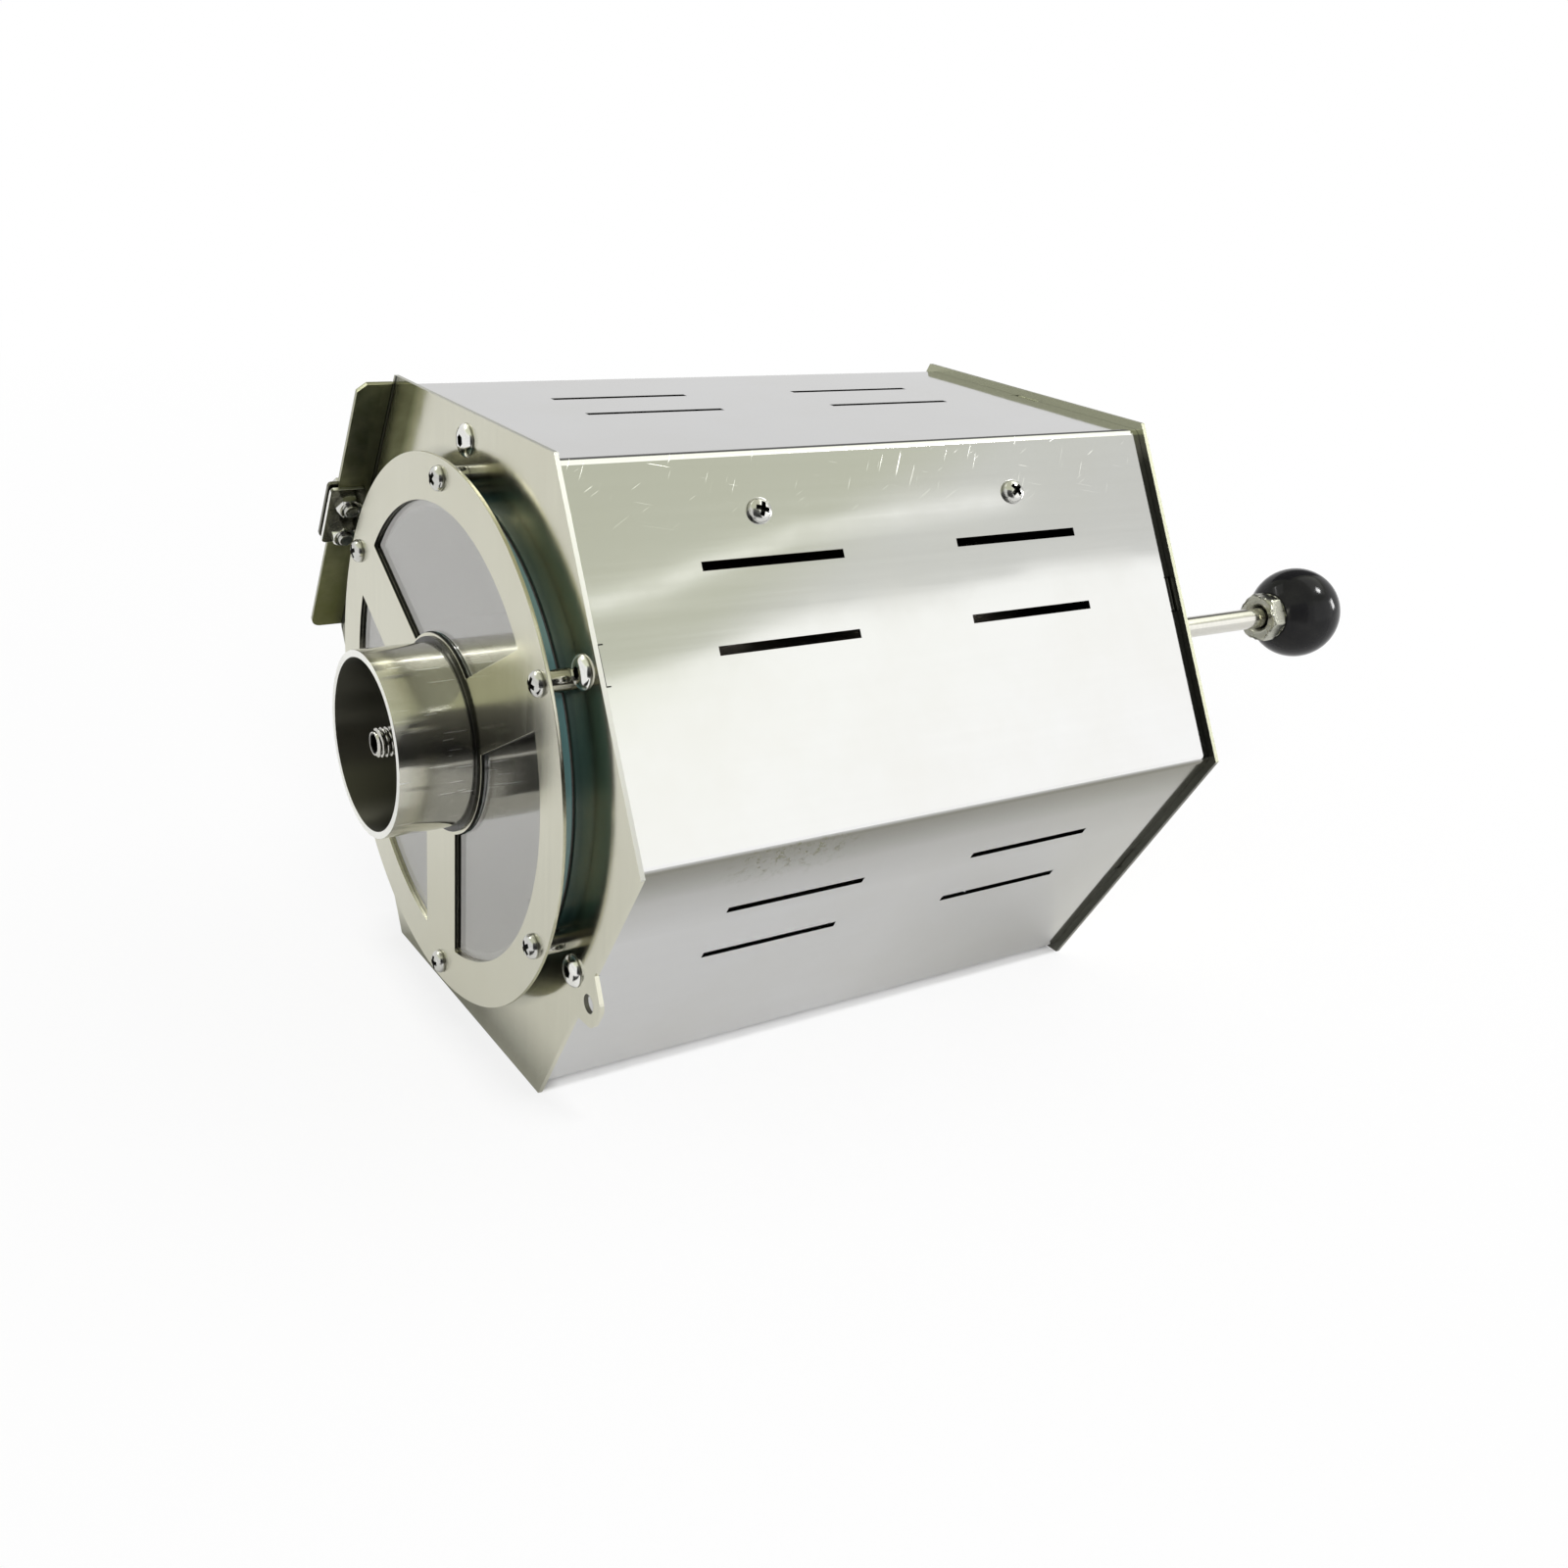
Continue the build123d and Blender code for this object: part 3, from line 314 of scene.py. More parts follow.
def cut_edge(material, colour):
    """Leaves the laser-cut upper edges of a six-sided plate pale and rough."""
    tree = material.node_tree
    at = place_on(tree)
    up = sums(tree, "ABSOLUTE", sums(tree, "SUBTRACT", at["Z"], AXIS_HEIGHT), 0.0)
    across = sums(tree, "ABSOLUTE", at["X"], 0.0)
    c, s = math.cos(math.radians(UPPER_RIGHT)), math.sin(math.radians(UPPER_RIGHT))
    slant = sums(tree, "ADD", product(tree, across, c), product(tree, up, s))
    reach = rising(tree, sums(tree, "MAXIMUM", slant, up), *PLATE_RIM)
    above = rising(tree, at["Z"], AXIS_HEIGHT - 0.001, AXIS_HEIGHT)
    edge = product(tree, reach, behind(tree, at["Y"], FRONT_FACE + PROUD), above)
    lay_over(material, edge, colour, 0.45)


front_bright = steel("front_bright", PLATE_COLOUR, gloss=(0.13, 0.18), **ROLLED)
tree = front_bright.node_tree
out, back, rise = on_face(tree, UPPER_LEFT)
inward = ahead_of(tree, back, FRONT_FACE - PROUD)
inward = product(tree, inward, falling(tree, out, *FLANGE_INSIDE))
# The inside of the folded edge: darker and olive, mottled, and darker still towards its lower end.
lay_over(front_bright, inward, FLANGE_OLIVE, 0.34)
mottle = noise(tree, on_object(tree), scale=120.0, detail=5.0, rough=0.6)
mottle = rising(tree, mottle, 0.4, 0.62)
lay_over(front_bright, product(tree, inward, mottle), FLANGE_OLIVE_DARK, 0.3)
low_end = rising(tree, rise, *FLANGE_LOW_END)
lay_over(front_bright, product(tree, inward, low_end), FLANGE_OLIVE_LOW, 0.4)
front = ahead_of(tree, back, FRONT_FACE + PROUD)
# Painted reflection: beside the fold the plate is darkened where it mirrors the dark fold.
run_on = product(tree, rising(tree, out, *FOLD_REFLECTION_RUN_ON), sums(tree, "SUBTRACT", front, inward))
lay_over(front_bright, run_on, FOLD_REFLECTION_SHADE, 0.12)
# Painted shade in the crease and in the corner of the fold.
inner = product(tree, front, falling(tree, out, *FLANGE_FACE))
crease = product(tree, inner, rising(tree, back, *CREASE_BACK), rising(tree, out, *CREASE_OUT))
lay_over(front_bright, crease, CREASE_SHADE, 0.4)
corner = product(tree, inner, rising(tree, back, *CORNER_BACK), rising(tree, out, *CORNER_OUT))
lay_over(front_bright, corner, FOLD_CORNER_SHADE, 0.5)
# Painted shade round the mouth, darkening the plate's reflection of the ring's dark back.
lay_over(front_bright, falling(tree, from_axis(tree), *MOUTH_SHADE_FADES), MOUTH_SHADE, 0.2)
right, back, up = on_face(tree, 0)
lean = product(tree, rising(tree, right, *BOW_RIGHT), rising(tree, up, *BOW_UP), front)
bowed(front_bright, vector(tree, X=lean))
# Painted shade on the wall of each lug's hole.
for angle in LUG_FACES:
    out, back, rise = on_face(tree, angle)
    span = vector(tree, X=sums(tree, "SUBTRACT", out, LUG_HOLE_OUT), Y=rise)
    span = put(tree, "VectorMath", {0: span}, operation="LENGTH").outputs["Value"]
    lay_over(front_bright, falling(tree, span, *LUG_HOLE_WALL), SHADE_IN_CORNERS, 0.5)
cut_edge(front_bright, CUT_EDGE)
dress("front_plate", front_bright)

# Rear plate: the same stainless plate without a mouth, screwed to the shell's rear tabs.
# It carries the rear bearing. Its inner face, where it stands out of the shell, and its lower
# edges are painted with shade, and the strip along the top of its inner face with olive shade.
TOP_FACE = 90
REAR_INSIDE, REAR_OUTSIDE = 0.0296, 0.0311
REAR_SHADE = (0.055, 0.057, 0.05)
REAR_EDGE = (0.4, 0.405, 0.31)
REAR_OLIVE_SHADE = (0.38, 0.39, 0.275)
OLIVE_UP = (0.096, 0.1)
SHADED_UP = (0.092, 0.099, 0.9)
LOWER_HALF = (-0.001, 0.0, 0.9)
rear_bright = steel("rear_bright", PLATE_COLOUR, gloss=(0.1, 0.16), **ROLLED)
cut_edge(rear_bright, REAR_EDGE)
tree = rear_bright.node_tree
up, back, across = on_face(tree, TOP_FACE)
inner = ahead_of(tree, back, REAR_INSIDE + PROUD)
# Painted shade, olive: the strip of the inner face along the top.
lay_over(rear_bright, product(tree, inner, rising(tree, up, *OLIVE_UP)), REAR_OLIVE_SHADE, 0.25)
# Painted shade on the inner face where it stands out of the shell, and on the lower edges.
shade = product(tree, inner, falling(tree, up, *SHADED_UP))
edges = product(tree, ahead_of(tree, back, REAR_OUTSIDE - PROUD), falling(tree, up, *LOWER_HALF))
lay_over(rear_bright, sums(tree, "MAXIMUM", shade, edges), REAR_SHADE, 0.3)
dress("rear_plate", rear_bright)

# Clip on the folded edge: two steel plates with the plate's flange between them, held by
# two hexagon bolts whose chamfered nuts face the window. Bolts and nuts are stainless, with
# shade painted into their corners; the plates are blackened, with bright cut edges, and have
# shade painted into their corners as well.
CLIP_COLOUR = (0.13, 0.13, 0.1)
CLIP_EDGE = (0.9, 0.9, 0.85)
CLIP_FRONT = (-0.20912, -0.20902)
CLIP_ENDS = (0.01232, 0.01242)
CLIP_INNER = (0.1026, 0.103)
FASTENER_COLOUR = (0.66, 0.66, 0.63)
NUT_COLOUR = (0.8, 0.8, 0.76)
ROUND_SIDES = 48
HEXAGON = 6
NUT_ACROSS = 0.008
NUT_THICK = 0.004
NUT_FACE = AXIS_HEIGHT - 0.00705
# Each nut: how far behind the front face and up the slope it is, and its turn.
NUT_PLACES = ((-0.0087, 0.0068, 12), (-0.0087, -0.0068, 41))
# Turned outlines: radius and distance along the axis.
NUT_CHAMFER = ((0.0, -0.0001), (0.0037, -0.0001), (0.0049, 0.0007), (0.0049, 0.005), (0.0, 0.005))
NUT_BORE = ((0.0, -0.001), (0.0032, -0.001), (0.0025, 0.0004), (0.0025, 0.006), (0.0, 0.006))


def ease_edges(piece, width):
    """Breaks the cut edges of a piece, so that they catch the light."""
    joined = piece.modifiers.new("join", "WELD")
    joined.merge_threshold = 0.000002
    eased = piece.modifiers.new("ease", "BEVEL")
    eased.width = width
    eased.segments = 2
    eased.limit_method = "ANGLE"
    eased.angle_limit = math.radians(35)
    eased.use_clamp_overlap = False
    facing = piece.modifiers.new("facing", "WEIGHTED_NORMAL")
    facing.keep_sharp = True


def with_corner_shade(material, reach):
    """Paints shade into the corners and recesses of a finish, where little light reaches."""
    tree = material.node_tree
    hidden = put(tree, "AmbientOcclusion", {"Distance": reach}, samples=8).outputs["AO"]
    lay_over(material, falling(tree, hidden, 0.25, 0.75, 0.85), SHADE_IN_CORNERS, 0.5)
    return material


def small_steel(name, colour, gloss):
    """The fine even steel of screws and nuts."""
    return steel(name, colour, gloss, grain=(300, 300, 300), depth=0.04, patch=240.0)


def skin(name, rings):
    """A closed mesh through a row of rings of points; a ring of one point closes an end."""
    made = bmesh.new()
    rows = [[made.verts.new(point) for point in points] for points in rings]
    for near, far in zip(rows, rows[1:]):
        for k in range(max(len(near), len(far))):
            corners = [near[k % len(near)], near[(k + 1) % len(near)]]
            corners += [far[(k + 1) % len(far)], far[k % len(far)]]
            corners = list(dict.fromkeys(corners))
            if len(corners) > 2:
                made.faces.new(corners)
    bmesh.ops.recalc_face_normals(made, faces=made.faces)
    mesh = bpy.data.meshes.new(name)
    made.to_mesh(mesh)
    made.free()
    return mesh


def ring(radius, y, sides, flats=0):
    """One ring of points round the y axis; with flats, radius is half the width across them."""
    points = []
    for k in range(sides):
        angle = math.tau * k / sides
        reach = radius
        if flats:
            half = math.pi / flats
            reach = radius / math.cos((angle + half) % (2 * half) - half)
        points.append((reach * math.cos(angle), y, reach * math.sin(angle)))
    return points


def turned(name, profile):
    """A turned solid: profile runs along the axis as radius and distance, from end to end."""
    return skin(name, [ring(radius, y, ROUND_SIDES) if radius else [(0.0, y, 0.0)] for radius, y in profile])


def stand(name, data):
    """Puts a thing into the scene."""
    thing = bpy.data.objects.new(name, data)
    bpy.context.scene.collection.objects.link(thing)
    return thing


def shaped(blank, tool, operation="DIFFERENCE"):
    """Cuts a blank with another mesh and gives what is left."""
    held = [stand(mesh.name, mesh) for mesh in (blank, tool)]
    cut = held[0].modifiers.new("cut", "BOOLEAN")
    cut.object = held[1]
    cut.operation = operation
    cut.solver = "EXACT"
    cut.material_mode = "TRANSFER"
    ready = held[0].evaluated_get(bpy.context.evaluated_depsgraph_get())
    left = bpy.data.meshes.new_from_object(ready)
    for thing in held:
        bpy.data.objects.remove(thing)
    return left


def fitted(node, mesh, places, body):
    """Sets copies of a small part at its places, as one piece that stands for a CAD node."""
    whole = bmesh.new()
    for place in places:
        before = len(whole.verts)
        whole.from_mesh(mesh)
        whole.verts.ensure_lookup_table()
        bmesh.ops.transform(whole, matrix=place, verts=whole.verts[before:])
    joined = bpy.data.meshes.new(node + "_cut")
    whole.to_mesh(joined)
    whole.free()
    for material in mesh.materials:
        joined.materials.append(material)
    joined.shade_smooth()
    joined.set_sharp_from_angle(angle=math.radians(32))
    piece = stand(node + "_cut", joined)
    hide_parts(node)
    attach(piece, body)


def through_face(angle, out, back, rise, spin):
    """Where a screw sits whose shank points straight into a face of the hexagon."""
    c, s = math.cos(math.radians(angle)), math.sin(math.radians(angle))
    inward = Vector((-c, 0.0, -s))
    side = Vector((0.0, 1.0, 0.0))
    turn = Matrix((side, inward, side.cross(inward))).transposed().to_4x4()
    at = Vector((out * c - rise * s, FRONT_FACE + back, out * s + rise * c + AXIS_HEIGHT))
    return Matrix.Translation(at) @ turn @ Matrix.Rotation(math.radians(spin), 4, "Y")


clip_steel = steel("clip_steel", CLIP_COLOUR, gloss=(0.22, 0.34), grain=(60, 60, 600), depth=0.05, patch=60.0)
# Painted shade in its corners and recesses.
with_corner_shade(clip_steel, 0.003)
tree = clip_steel.node_tree
out, back, rise = on_face(tree, UPPER_LEFT)
ends = rising(tree, sums(tree, "ABSOLUTE", rise, 0.0), *CLIP_ENDS)
cut = sums(tree, "MAXIMUM", falling(tree, back, *CLIP_FRONT), ends)
lay_over(clip_steel, product(tree, cut, falling(tree, out, *CLIP_INNER)), CLIP_EDGE, 0.3)
ease_edges(dress("wing_clip", clip_steel), 0.0002)
# Painted shade in its corners and recesses.
fastener_bright = with_corner_shade(small_steel("fastener_bright", FASTENER_COLOUR, (0.15, 0.23)), 0.002)
ease_edges(dress("clip_bolts", fastener_bright), 0.0003)
nut = skin("nut_blank", [
    [(0.0, 0.0, 0.0)],
    ring(NUT_ACROSS / 2, 0.0, ROUND_SIDES, HEXAGON),
    ring(NUT_ACROSS / 2, NUT_THICK, ROUND_SIDES, HEXAGON),
    [(0.0, NUT_THICK, 0.0)],
])
nut = shaped(nut, turned("nut_chamfer", NUT_CHAMFER), "INTERSECT")
nut = shaped(nut, turned("nut_bore", NUT_BORE))
nut.materials.clear()
# Painted shade in its corners and recesses.
nut.materials.append(with_corner_shade(small_steel("nut_bright", NUT_COLOUR, (0.1, 0.16)), 0.0012))
turned_over = Matrix.Rotation(math.pi, 4, "X")
nut_places = [through_face(UPPER_LEFT, NUT_FACE, back, rise, spin) @ turned_over
              for back, rise, spin in NUT_PLACES]
fitted("clip_nuts", nut, nut_places, "casing")

# Tab screws and nuts: stainless button heads with a hexagon socket, cold-headed and bright.
# They go through the end plates into the shell's bent tabs, one at the middle of each face
# at each end, with a nut behind each.
TAB_CIRCLE = 0.0948
# Each tab: the face that it is bent from, and how far its screw happens to be turned.
TABS = ((LOWER_RIGHT, 14), (UPPER_RIGHT, 33), (TOP_FACE, 52), (UPPER_LEFT, 5), (LOWER_LEFT, 27))
BUTTON_COLOUR = (0.9, 0.9, 0.87)
RECESS_SHADE_COLOUR = (0.03, 0.03, 0.026)
# Half the screw's outline, from the middle of its head to its tip: radius, and place along it.
BUTTON_HEAD = (
    (0.0, -0.00222), (0.002, -0.0022), (0.003, -0.00212), (0.0036, -0.00197), (0.0041, -0.00173),
    (0.0046, -0.00132), (0.005, -0.00085), (0.0052, -0.0005), (0.0052, -0.0003), (0.00512, 0.0),
)
BUTTON_SHANK = ((0.003, 0.0), (0.003, 0.0081), (0.0026, 0.0085), (0.0, 0.0085))
SOCKET_HALF = 0.0017
SOCKET_OPEN, SOCKET_FLOOR, SOCKET_POINT = -0.004, -0.0012, -0.0009

blank = turned("button_screw", [*BUTTON_HEAD, *BUTTON_SHANK])
# Painted shade in its corners and recesses.
blank.materials.append(with_corner_shade(small_steel("button_bright", BUTTON_COLOUR, (0.12, 0.18)), 0.002))
key = skin("socket_key", [
    [(0.0, SOCKET_OPEN, 0.0)],
    ring(SOCKET_HALF, SOCKET_OPEN, 24, HEXAGON),
    ring(SOCKET_HALF, SOCKET_FLOOR, 24, HEXAGON),
    [(0.0, SOCKET_POINT, 0.0)],
])
# Painted shade: the socket's walls and floor are painted near black.
recess_shade = small_steel("recess_shade", RECESS_SHADE_COLOUR, (0.4, 0.5))
key.materials.append(recess_shade)
button = shaped(blank, key)
for node, seat, over in (("front_tab_screws", FRONT_FACE, 0.0), ("rear_tab_screws", REAR_OUTSIDE, math.pi)):
    places = []
    for face, spin in TABS:
        c, s = math.cos(math.radians(face)), math.sin(math.radians(face))
        at = Matrix.Translation((TAB_CIRCLE * c, seat, TAB_CIRCLE * s + AXIS_HEIGHT))
        places.append(at @ Matrix.Rotation(over, 4, "X") @ Matrix.Rotation(math.radians(spin), 4, "Y"))
    fitted(node, button, places, "casing")
for node in ("front_tab_nuts", "rear_tab_nuts"):
    ease_edges(dress(node, fastener_bright), 0.0003)

# Baffle inside the top of the shell: plain satin sheet, cut and bent. It hangs from four
# pan-head screws with pressed cross recesses, which come through the shell, and nuts inside.
INNER_COLOUR = (0.5, 0.49, 0.45)
PAN_HEAD = (
    (0.0, -0.0028), (0.0008, -0.00278), (0.0016, -0.00268), (0.0024, -0.00246), (0.003, -0.00212),
    (0.0035, -0.00165), (0.0038, -0.0012), (0.00396, -0.0007), (0.004, -0.0003), (0.00392, 0.0),
)
SHELL_SCREW_END = 0.0062
SCREW_SEAT = 0.10142
# Each screw: its face, how far behind the front face and up the slope it is, and its turn.
SHELL_SCREWS = (
    (UPPER_RIGHT, 0.0635, 0.04, 20),
    (UPPER_RIGHT, 0.1615, 0.04, 51),
    (UPPER_LEFT, 0.0635, -0.04, 8),
    (UPPER_LEFT, 0.1615, -0.04, 33),
)
# The cross recess at its mouth and at its floor: depth, half length and half width of a blade.
BLADE_ENDS = ((-0.0034, 0.00285, 0.0009), (-0.001, 0.0014, 0.0004))


def cross_blade(turn):
    """One of the two tapered blades that press the cross recess into a screw's head."""
    rows = []
    for depth, half_long, half_wide in BLADE_ENDS:
        corners = ((half_long, half_wide), (-half_long, half_wide),
                   (-half_long, -half_wide), (half_long, -half_wide))
        c, s = math.cos(turn), math.sin(turn)
        rows.append([(x * c - z * s, depth, x * s + z * c) for x, z in corners])
    mouth, floor = [[(0.0, depth, 0.0)] for depth, half_long, half_wide in BLADE_ENDS]
    blade = skin("cross_blade", [mouth, *rows, floor])
    # Painted shade: the cross recess is painted near black.
    blade.materials.append(recess_shade)
    return blade


def pan_screw(end):
    """A pan-head screw with a cross recess, its seat at zero and its shank along +y."""
    shank = ((0.002, 0.0), (0.002, end - 0.0004), (0.0016, end), (0.0, end))
    blank = turned("pan_screw", [*PAN_HEAD, *shank])
    blank.materials.append(fastener_bright)
    screw = shaped(blank, cross_blade(0.0))
    return shaped(screw, cross_blade(math.pi / 2))


places = [through_face(face, SCREW_SEAT, back, rise, spin) for face, back, rise, spin in SHELL_SCREWS]
fitted("shell_screws", pan_screw(SHELL_SCREW_END), places, "casing")
inner_satin = steel("inner_satin", INNER_COLOUR, gloss=(0.28, 0.4), grain=(20, 500, 20),
                    depth=0.05, patch=22.0, waves=0.0003)
dress("top_baffle", inner_satin)
ease_edges(dress("shell_nuts", fastener_bright), 0.0003)

# Drum: rolled steel sheet with a riveted set of lifting vanes, a pressed back and three arms
# in front, browned inside by the roast. Its hub is screwed to the back.
DRUM_COLOUR = (0.15, 0.135, 0.115)
drum_browned = steel("drum_browned", DRUM_COLOUR, gloss=(0.34, 0.48), grain=(20, 500, 20),
                     depth=0.06, patch=30.0, waves=0.0003)
for node in ("drum_shell", "drum_back", "drum_vanes", "drum_front_arms"):
    dress(node, drum_browned)
for node in ("vane_rivets", "arm_rivets", "hub_screws", "set_screws"):
    dress(node, fastener_bright)

# Spindle: a ground steel rod on the drum's axis. Its front end is cut with a coarse thread
# and has a hexagon socket. Hub, collar and washers are turned from the same bar.
TURNED_COLOUR = (0.64, 0.63, 0.58)
SPINDLE_SIDES = 60
SPINDLE_FRONT, SPINDLE_REAR = -0.031, 0.395
DRIVE_HALF = 0.0028
DRIVE_FLOOR = -0.025
DRIVE_MOUTH = 0.0034
THREAD_TIP = 0.0038
THREAD_TOP = 0.00493
THREAD_ROOT = 0.0041
THREAD_PITCH = 0.0015
THREAD_FROM, THREAD_TO = -0.0304, -0.0142
THREAD_STEPS = 100
ROD = (
    (0.0042, -0.014), (0.0042, -0.0121), (0.005, -0.0119), (0.005, 0.2653),
    (0.0045, 0.2657), (0.0045, 0.3946), (0.0041, SPINDLE_REAR),
)


def thread_ring(y):
    """One ring of the threaded end, where the groove has wound round to."""
    points = []
    for k in range(SPINDLE_SIDES):
        angle = math.tau * k / SPINDLE_SIDES
        turn = (y / THREAD_PITCH + k / SPINDLE_SIDES) % 1.0
        height = min(max((1.0 - abs(2.0 * turn - 1.0)) * 1.5 - 0.2, 0.0), 1.0)
        reach = THREAD_ROOT + (THREAD_TOP - THREAD_ROOT) * height
        reach = min(reach, THREAD_TIP + (y - SPINDLE_FRONT) * 1.1)
        points.append((reach * math.cos(angle), y, reach * math.sin(angle)))
    return points


turned_steel = steel("turned_steel", TURNED_COLOUR, gloss=(0.12, 0.2), grain=(30, 900, 30), patch=60.0)
spindle_rings = [
    [(0.0, DRIVE_FLOOR, 0.0)],
    ring(DRIVE_HALF, DRIVE_FLOOR, SPINDLE_SIDES, HEXAGON),
    ring(DRIVE_HALF, SPINDLE_FRONT + 0.0002, SPINDLE_SIDES, HEXAGON),
    ring(DRIVE_MOUTH, SPINDLE_FRONT, SPINDLE_SIDES),
    ring(THREAD_TIP, SPINDLE_FRONT, SPINDLE_SIDES),
]
step = (THREAD_TO - THREAD_FROM) / THREAD_STEPS
spindle_rings += [thread_ring(THREAD_FROM + step * k) for k in range(THREAD_STEPS + 1)]
spindle_rings += [ring(radius, y, SPINDLE_SIDES) for radius, y in ROD]
spindle_rings.append([(0.0, SPINDLE_REAR, 0.0)])
rod = skin("spindle_rod", spindle_rings)
# Painted shade in its corners and recesses.
rod.materials.append(with_corner_shade(turned_steel.copy(), 0.0015))
# Painted shade: the socket in the front end is painted near black.
rod.materials.append(recess_shade)
for face in rod.polygons:
    in_bore = math.hypot(face.center.x, face.center.z) < DRIVE_MOUTH
    in_depth = SPINDLE_FRONT + 0.0001 < face.center.y < DRIVE_FLOOR + 0.0001
    face.material_index = 1 if in_bore and in_depth else 0
fitted("spindle", rod, [Matrix.Translation((0.0, FRONT_FACE, AXIS_HEIGHT))], "drum")
for node in ("drum_hub", "shaft_collar", "thrust_washers"):
    ease_edges(dress(node, turned_steel), 0.0002)

# Rear bearing: a round steel flange and a turned boss with a bronze bush in it, screwed to
# the rear plate with a nut on each screw. The front bush is of the same bronze.
BRONZE_COLOUR = (0.6, 0.42, 0.22)
for node in ("bearing_flange", "bearing_boss"):
    ease_edges(dress(node, turned_steel), 0.0003)
for node in ("housing_screws", "housing_nuts"):
    ease_edges(dress(node, fastener_bright), 0.0003)
bronze = steel("bronze", BRONZE_COLOUR, gloss=(0.2, 0.3), grain=(30, 900, 30), depth=0.04, patch=90.0)
for node in ("rear_bush", "front_bush"):
    dress(node, bronze)

# Sight glass: a thick toughened disc with a green cut edge, bedded on a thin pressed-fibre
# gasket against the plate. Its faces are polished, mirror strongly and are a little smeared.
GLASS_CLEAR = (0.94, 0.96, 0.95)
GLASS_EDGE = (0.12, 0.25, 0.25)
GLASS_TINT = (1.0, 0.98, 0.93, 1.0)
GLASS_IOR = 3.1
GLASS_RIM = (0.0788, 0.0791)
SEAL_LIGHT = (0.069, 0.0667, 0.0598)
SEAL_DARK = (0.045, 0.0435, 0.039)
glass, tree, shader = new_finish("sight_glass")
shader.inputs["IOR"].default_value = GLASS_IOR
shader.inputs["Specular Tint"].default_value = GLASS_TINT
edge = rising(tree, from_axis(tree), *GLASS_RIM)
tree.links.new(blended(tree, edge, GLASS_CLEAR, GLASS_EDGE), shader.inputs["Base Color"])
tree.links.new(spread(tree, edge, 0.0, 1.0, 1.0, 0.15), shader.inputs["Transmission Weight"])
smear = noise(tree, on_object(tree), scale=30.0, detail=5.0, twist=1.2)
smear = spread(tree, smear, 0.4, 0.75, 0.015, 0.07)
tree.links.new(sums(tree, "ADD", smear, product(tree, edge, 0.12)), shader.inputs["Roughness"])
dress("sight_glass", glass)
seal, tree, shader = new_finish("seal_fibre")
shader.inputs["Roughness"].default_value = 0.9
fibres = noise(tree, on_object(tree), scale=900.0, detail=4.0)
tone = blended(tree, rising(tree, fibres, 0.35, 0.65), SEAL_DARK, SEAL_LIGHT)
tree.links.new(tone, shader.inputs["Base Color"])
felt = put(tree, "Bump", {"Strength": 0.4, "Distance": 0.0002, "Height": fibres})
tree.links.new(felt.outputs["Normal"], shader.inputs["Normal"])
dress("glass_seal", seal)

# Spider: a flat laser-cut stainless ring with three spokes, its cut walls painted with shade,
# all but the lower window arcs, which face up. It is held to six turned posts on the front
# plate by pan-head screws with cross recesses.
SPIDER_FRONT = FRONT_FACE - 0.0088
SPIDER_THICK = 0.0012
SPIDER_WALL_SHADE = (0.03, 0.03, 0.026)
SPIDER_OUTER = (0.0885, 0.089)
WINDOW_ARC = (0.0738, 0.0742)
SPIDER_SCREW_RADIUS = 0.0836
SPIDER_SCREW_END = 0.00424
SPIDER_SCREW_TURNS = (10, 37, 64, 22, 81, 48)
spider_bright = steel("spider_bright", PLATE_COLOUR, gloss=(0.19, 0.24), **ROLLED)
tree = spider_bright.node_tree
right, back, up = on_face(tree, 0)
# Painted shade on the cut walls, left off the lower window arcs, which face up.
wall = behind(tree, back, SPIDER_FRONT + 0.0001)
wall = product(tree, wall, ahead_of(tree, back, SPIDER_FRONT + SPIDER_THICK - 0.0001))
wall = product(tree, wall, falling(tree, from_axis(tree), *SPIDER_OUTER))
low_arc = product(tree, rising(tree, from_axis(tree), *WINDOW_ARC), falling(tree, up, 0.0, 0.01))
wall = product(tree, wall, sums(tree, "SUBTRACT", 1.0, low_arc))
lay_over(spider_bright, wall, SPIDER_WALL_SHADE, 0.5)
ease_edges(dress("front_spider", spider_bright), 0.00012)
ease_edges(dress("spacer_posts", turned_steel), 0.0002)
places = []
for step, spin in enumerate(SPIDER_SCREW_TURNS):
    angle = math.radians(30 + 60 * step)
    x, z = SPIDER_SCREW_RADIUS * math.cos(angle), SPIDER_SCREW_RADIUS * math.sin(angle)
    at = Matrix.Translation((x, SPIDER_FRONT, z + AXIS_HEIGHT))
    places.append(at @ Matrix.Rotation(math.radians(spin), 4, "Y"))
fitted("spider_screws", pan_screw(SPIDER_SCREW_END), places, "casing")
dress("post_screws", fastener_bright)

# Feed tube: plain stainless tube through the spider, scratched along its length by the scoop
# and duller inside, where it is also painted dark with shade. A spring ring holds it, and three
# arms in it carry the front bush.
TUBE_RADIUS = 0.03
TUBE_BORE = (0.0283, 0.0286)
TUBE_MOUTH = (-0.22795, -0.2279)
TUBE_COLOUR = (0.62, 0.61, 0.54)
TUBE_INNER_SHADE = (0.15, 0.147, 0.115)
TUBE_CUT = (0.92, 0.92, 0.87)
TUBE_SCRATCH = (0.97, 0.97, 0.93)
TUBE_SCRATCHES = ((0, (0.02, 0.0006), 0.72), (3, (0.012, 0.0005), 0.74))
RING_COLOUR = (0.05, 0.05, 0.045)
tube_steel = steel("tube_steel", TUBE_COLOUR, gloss=(0.12, 0.16), grain=(40, 300, 40),
                   depth=0.002, patch=40.0, brushed=0.93)
tree = tube_steel.node_tree
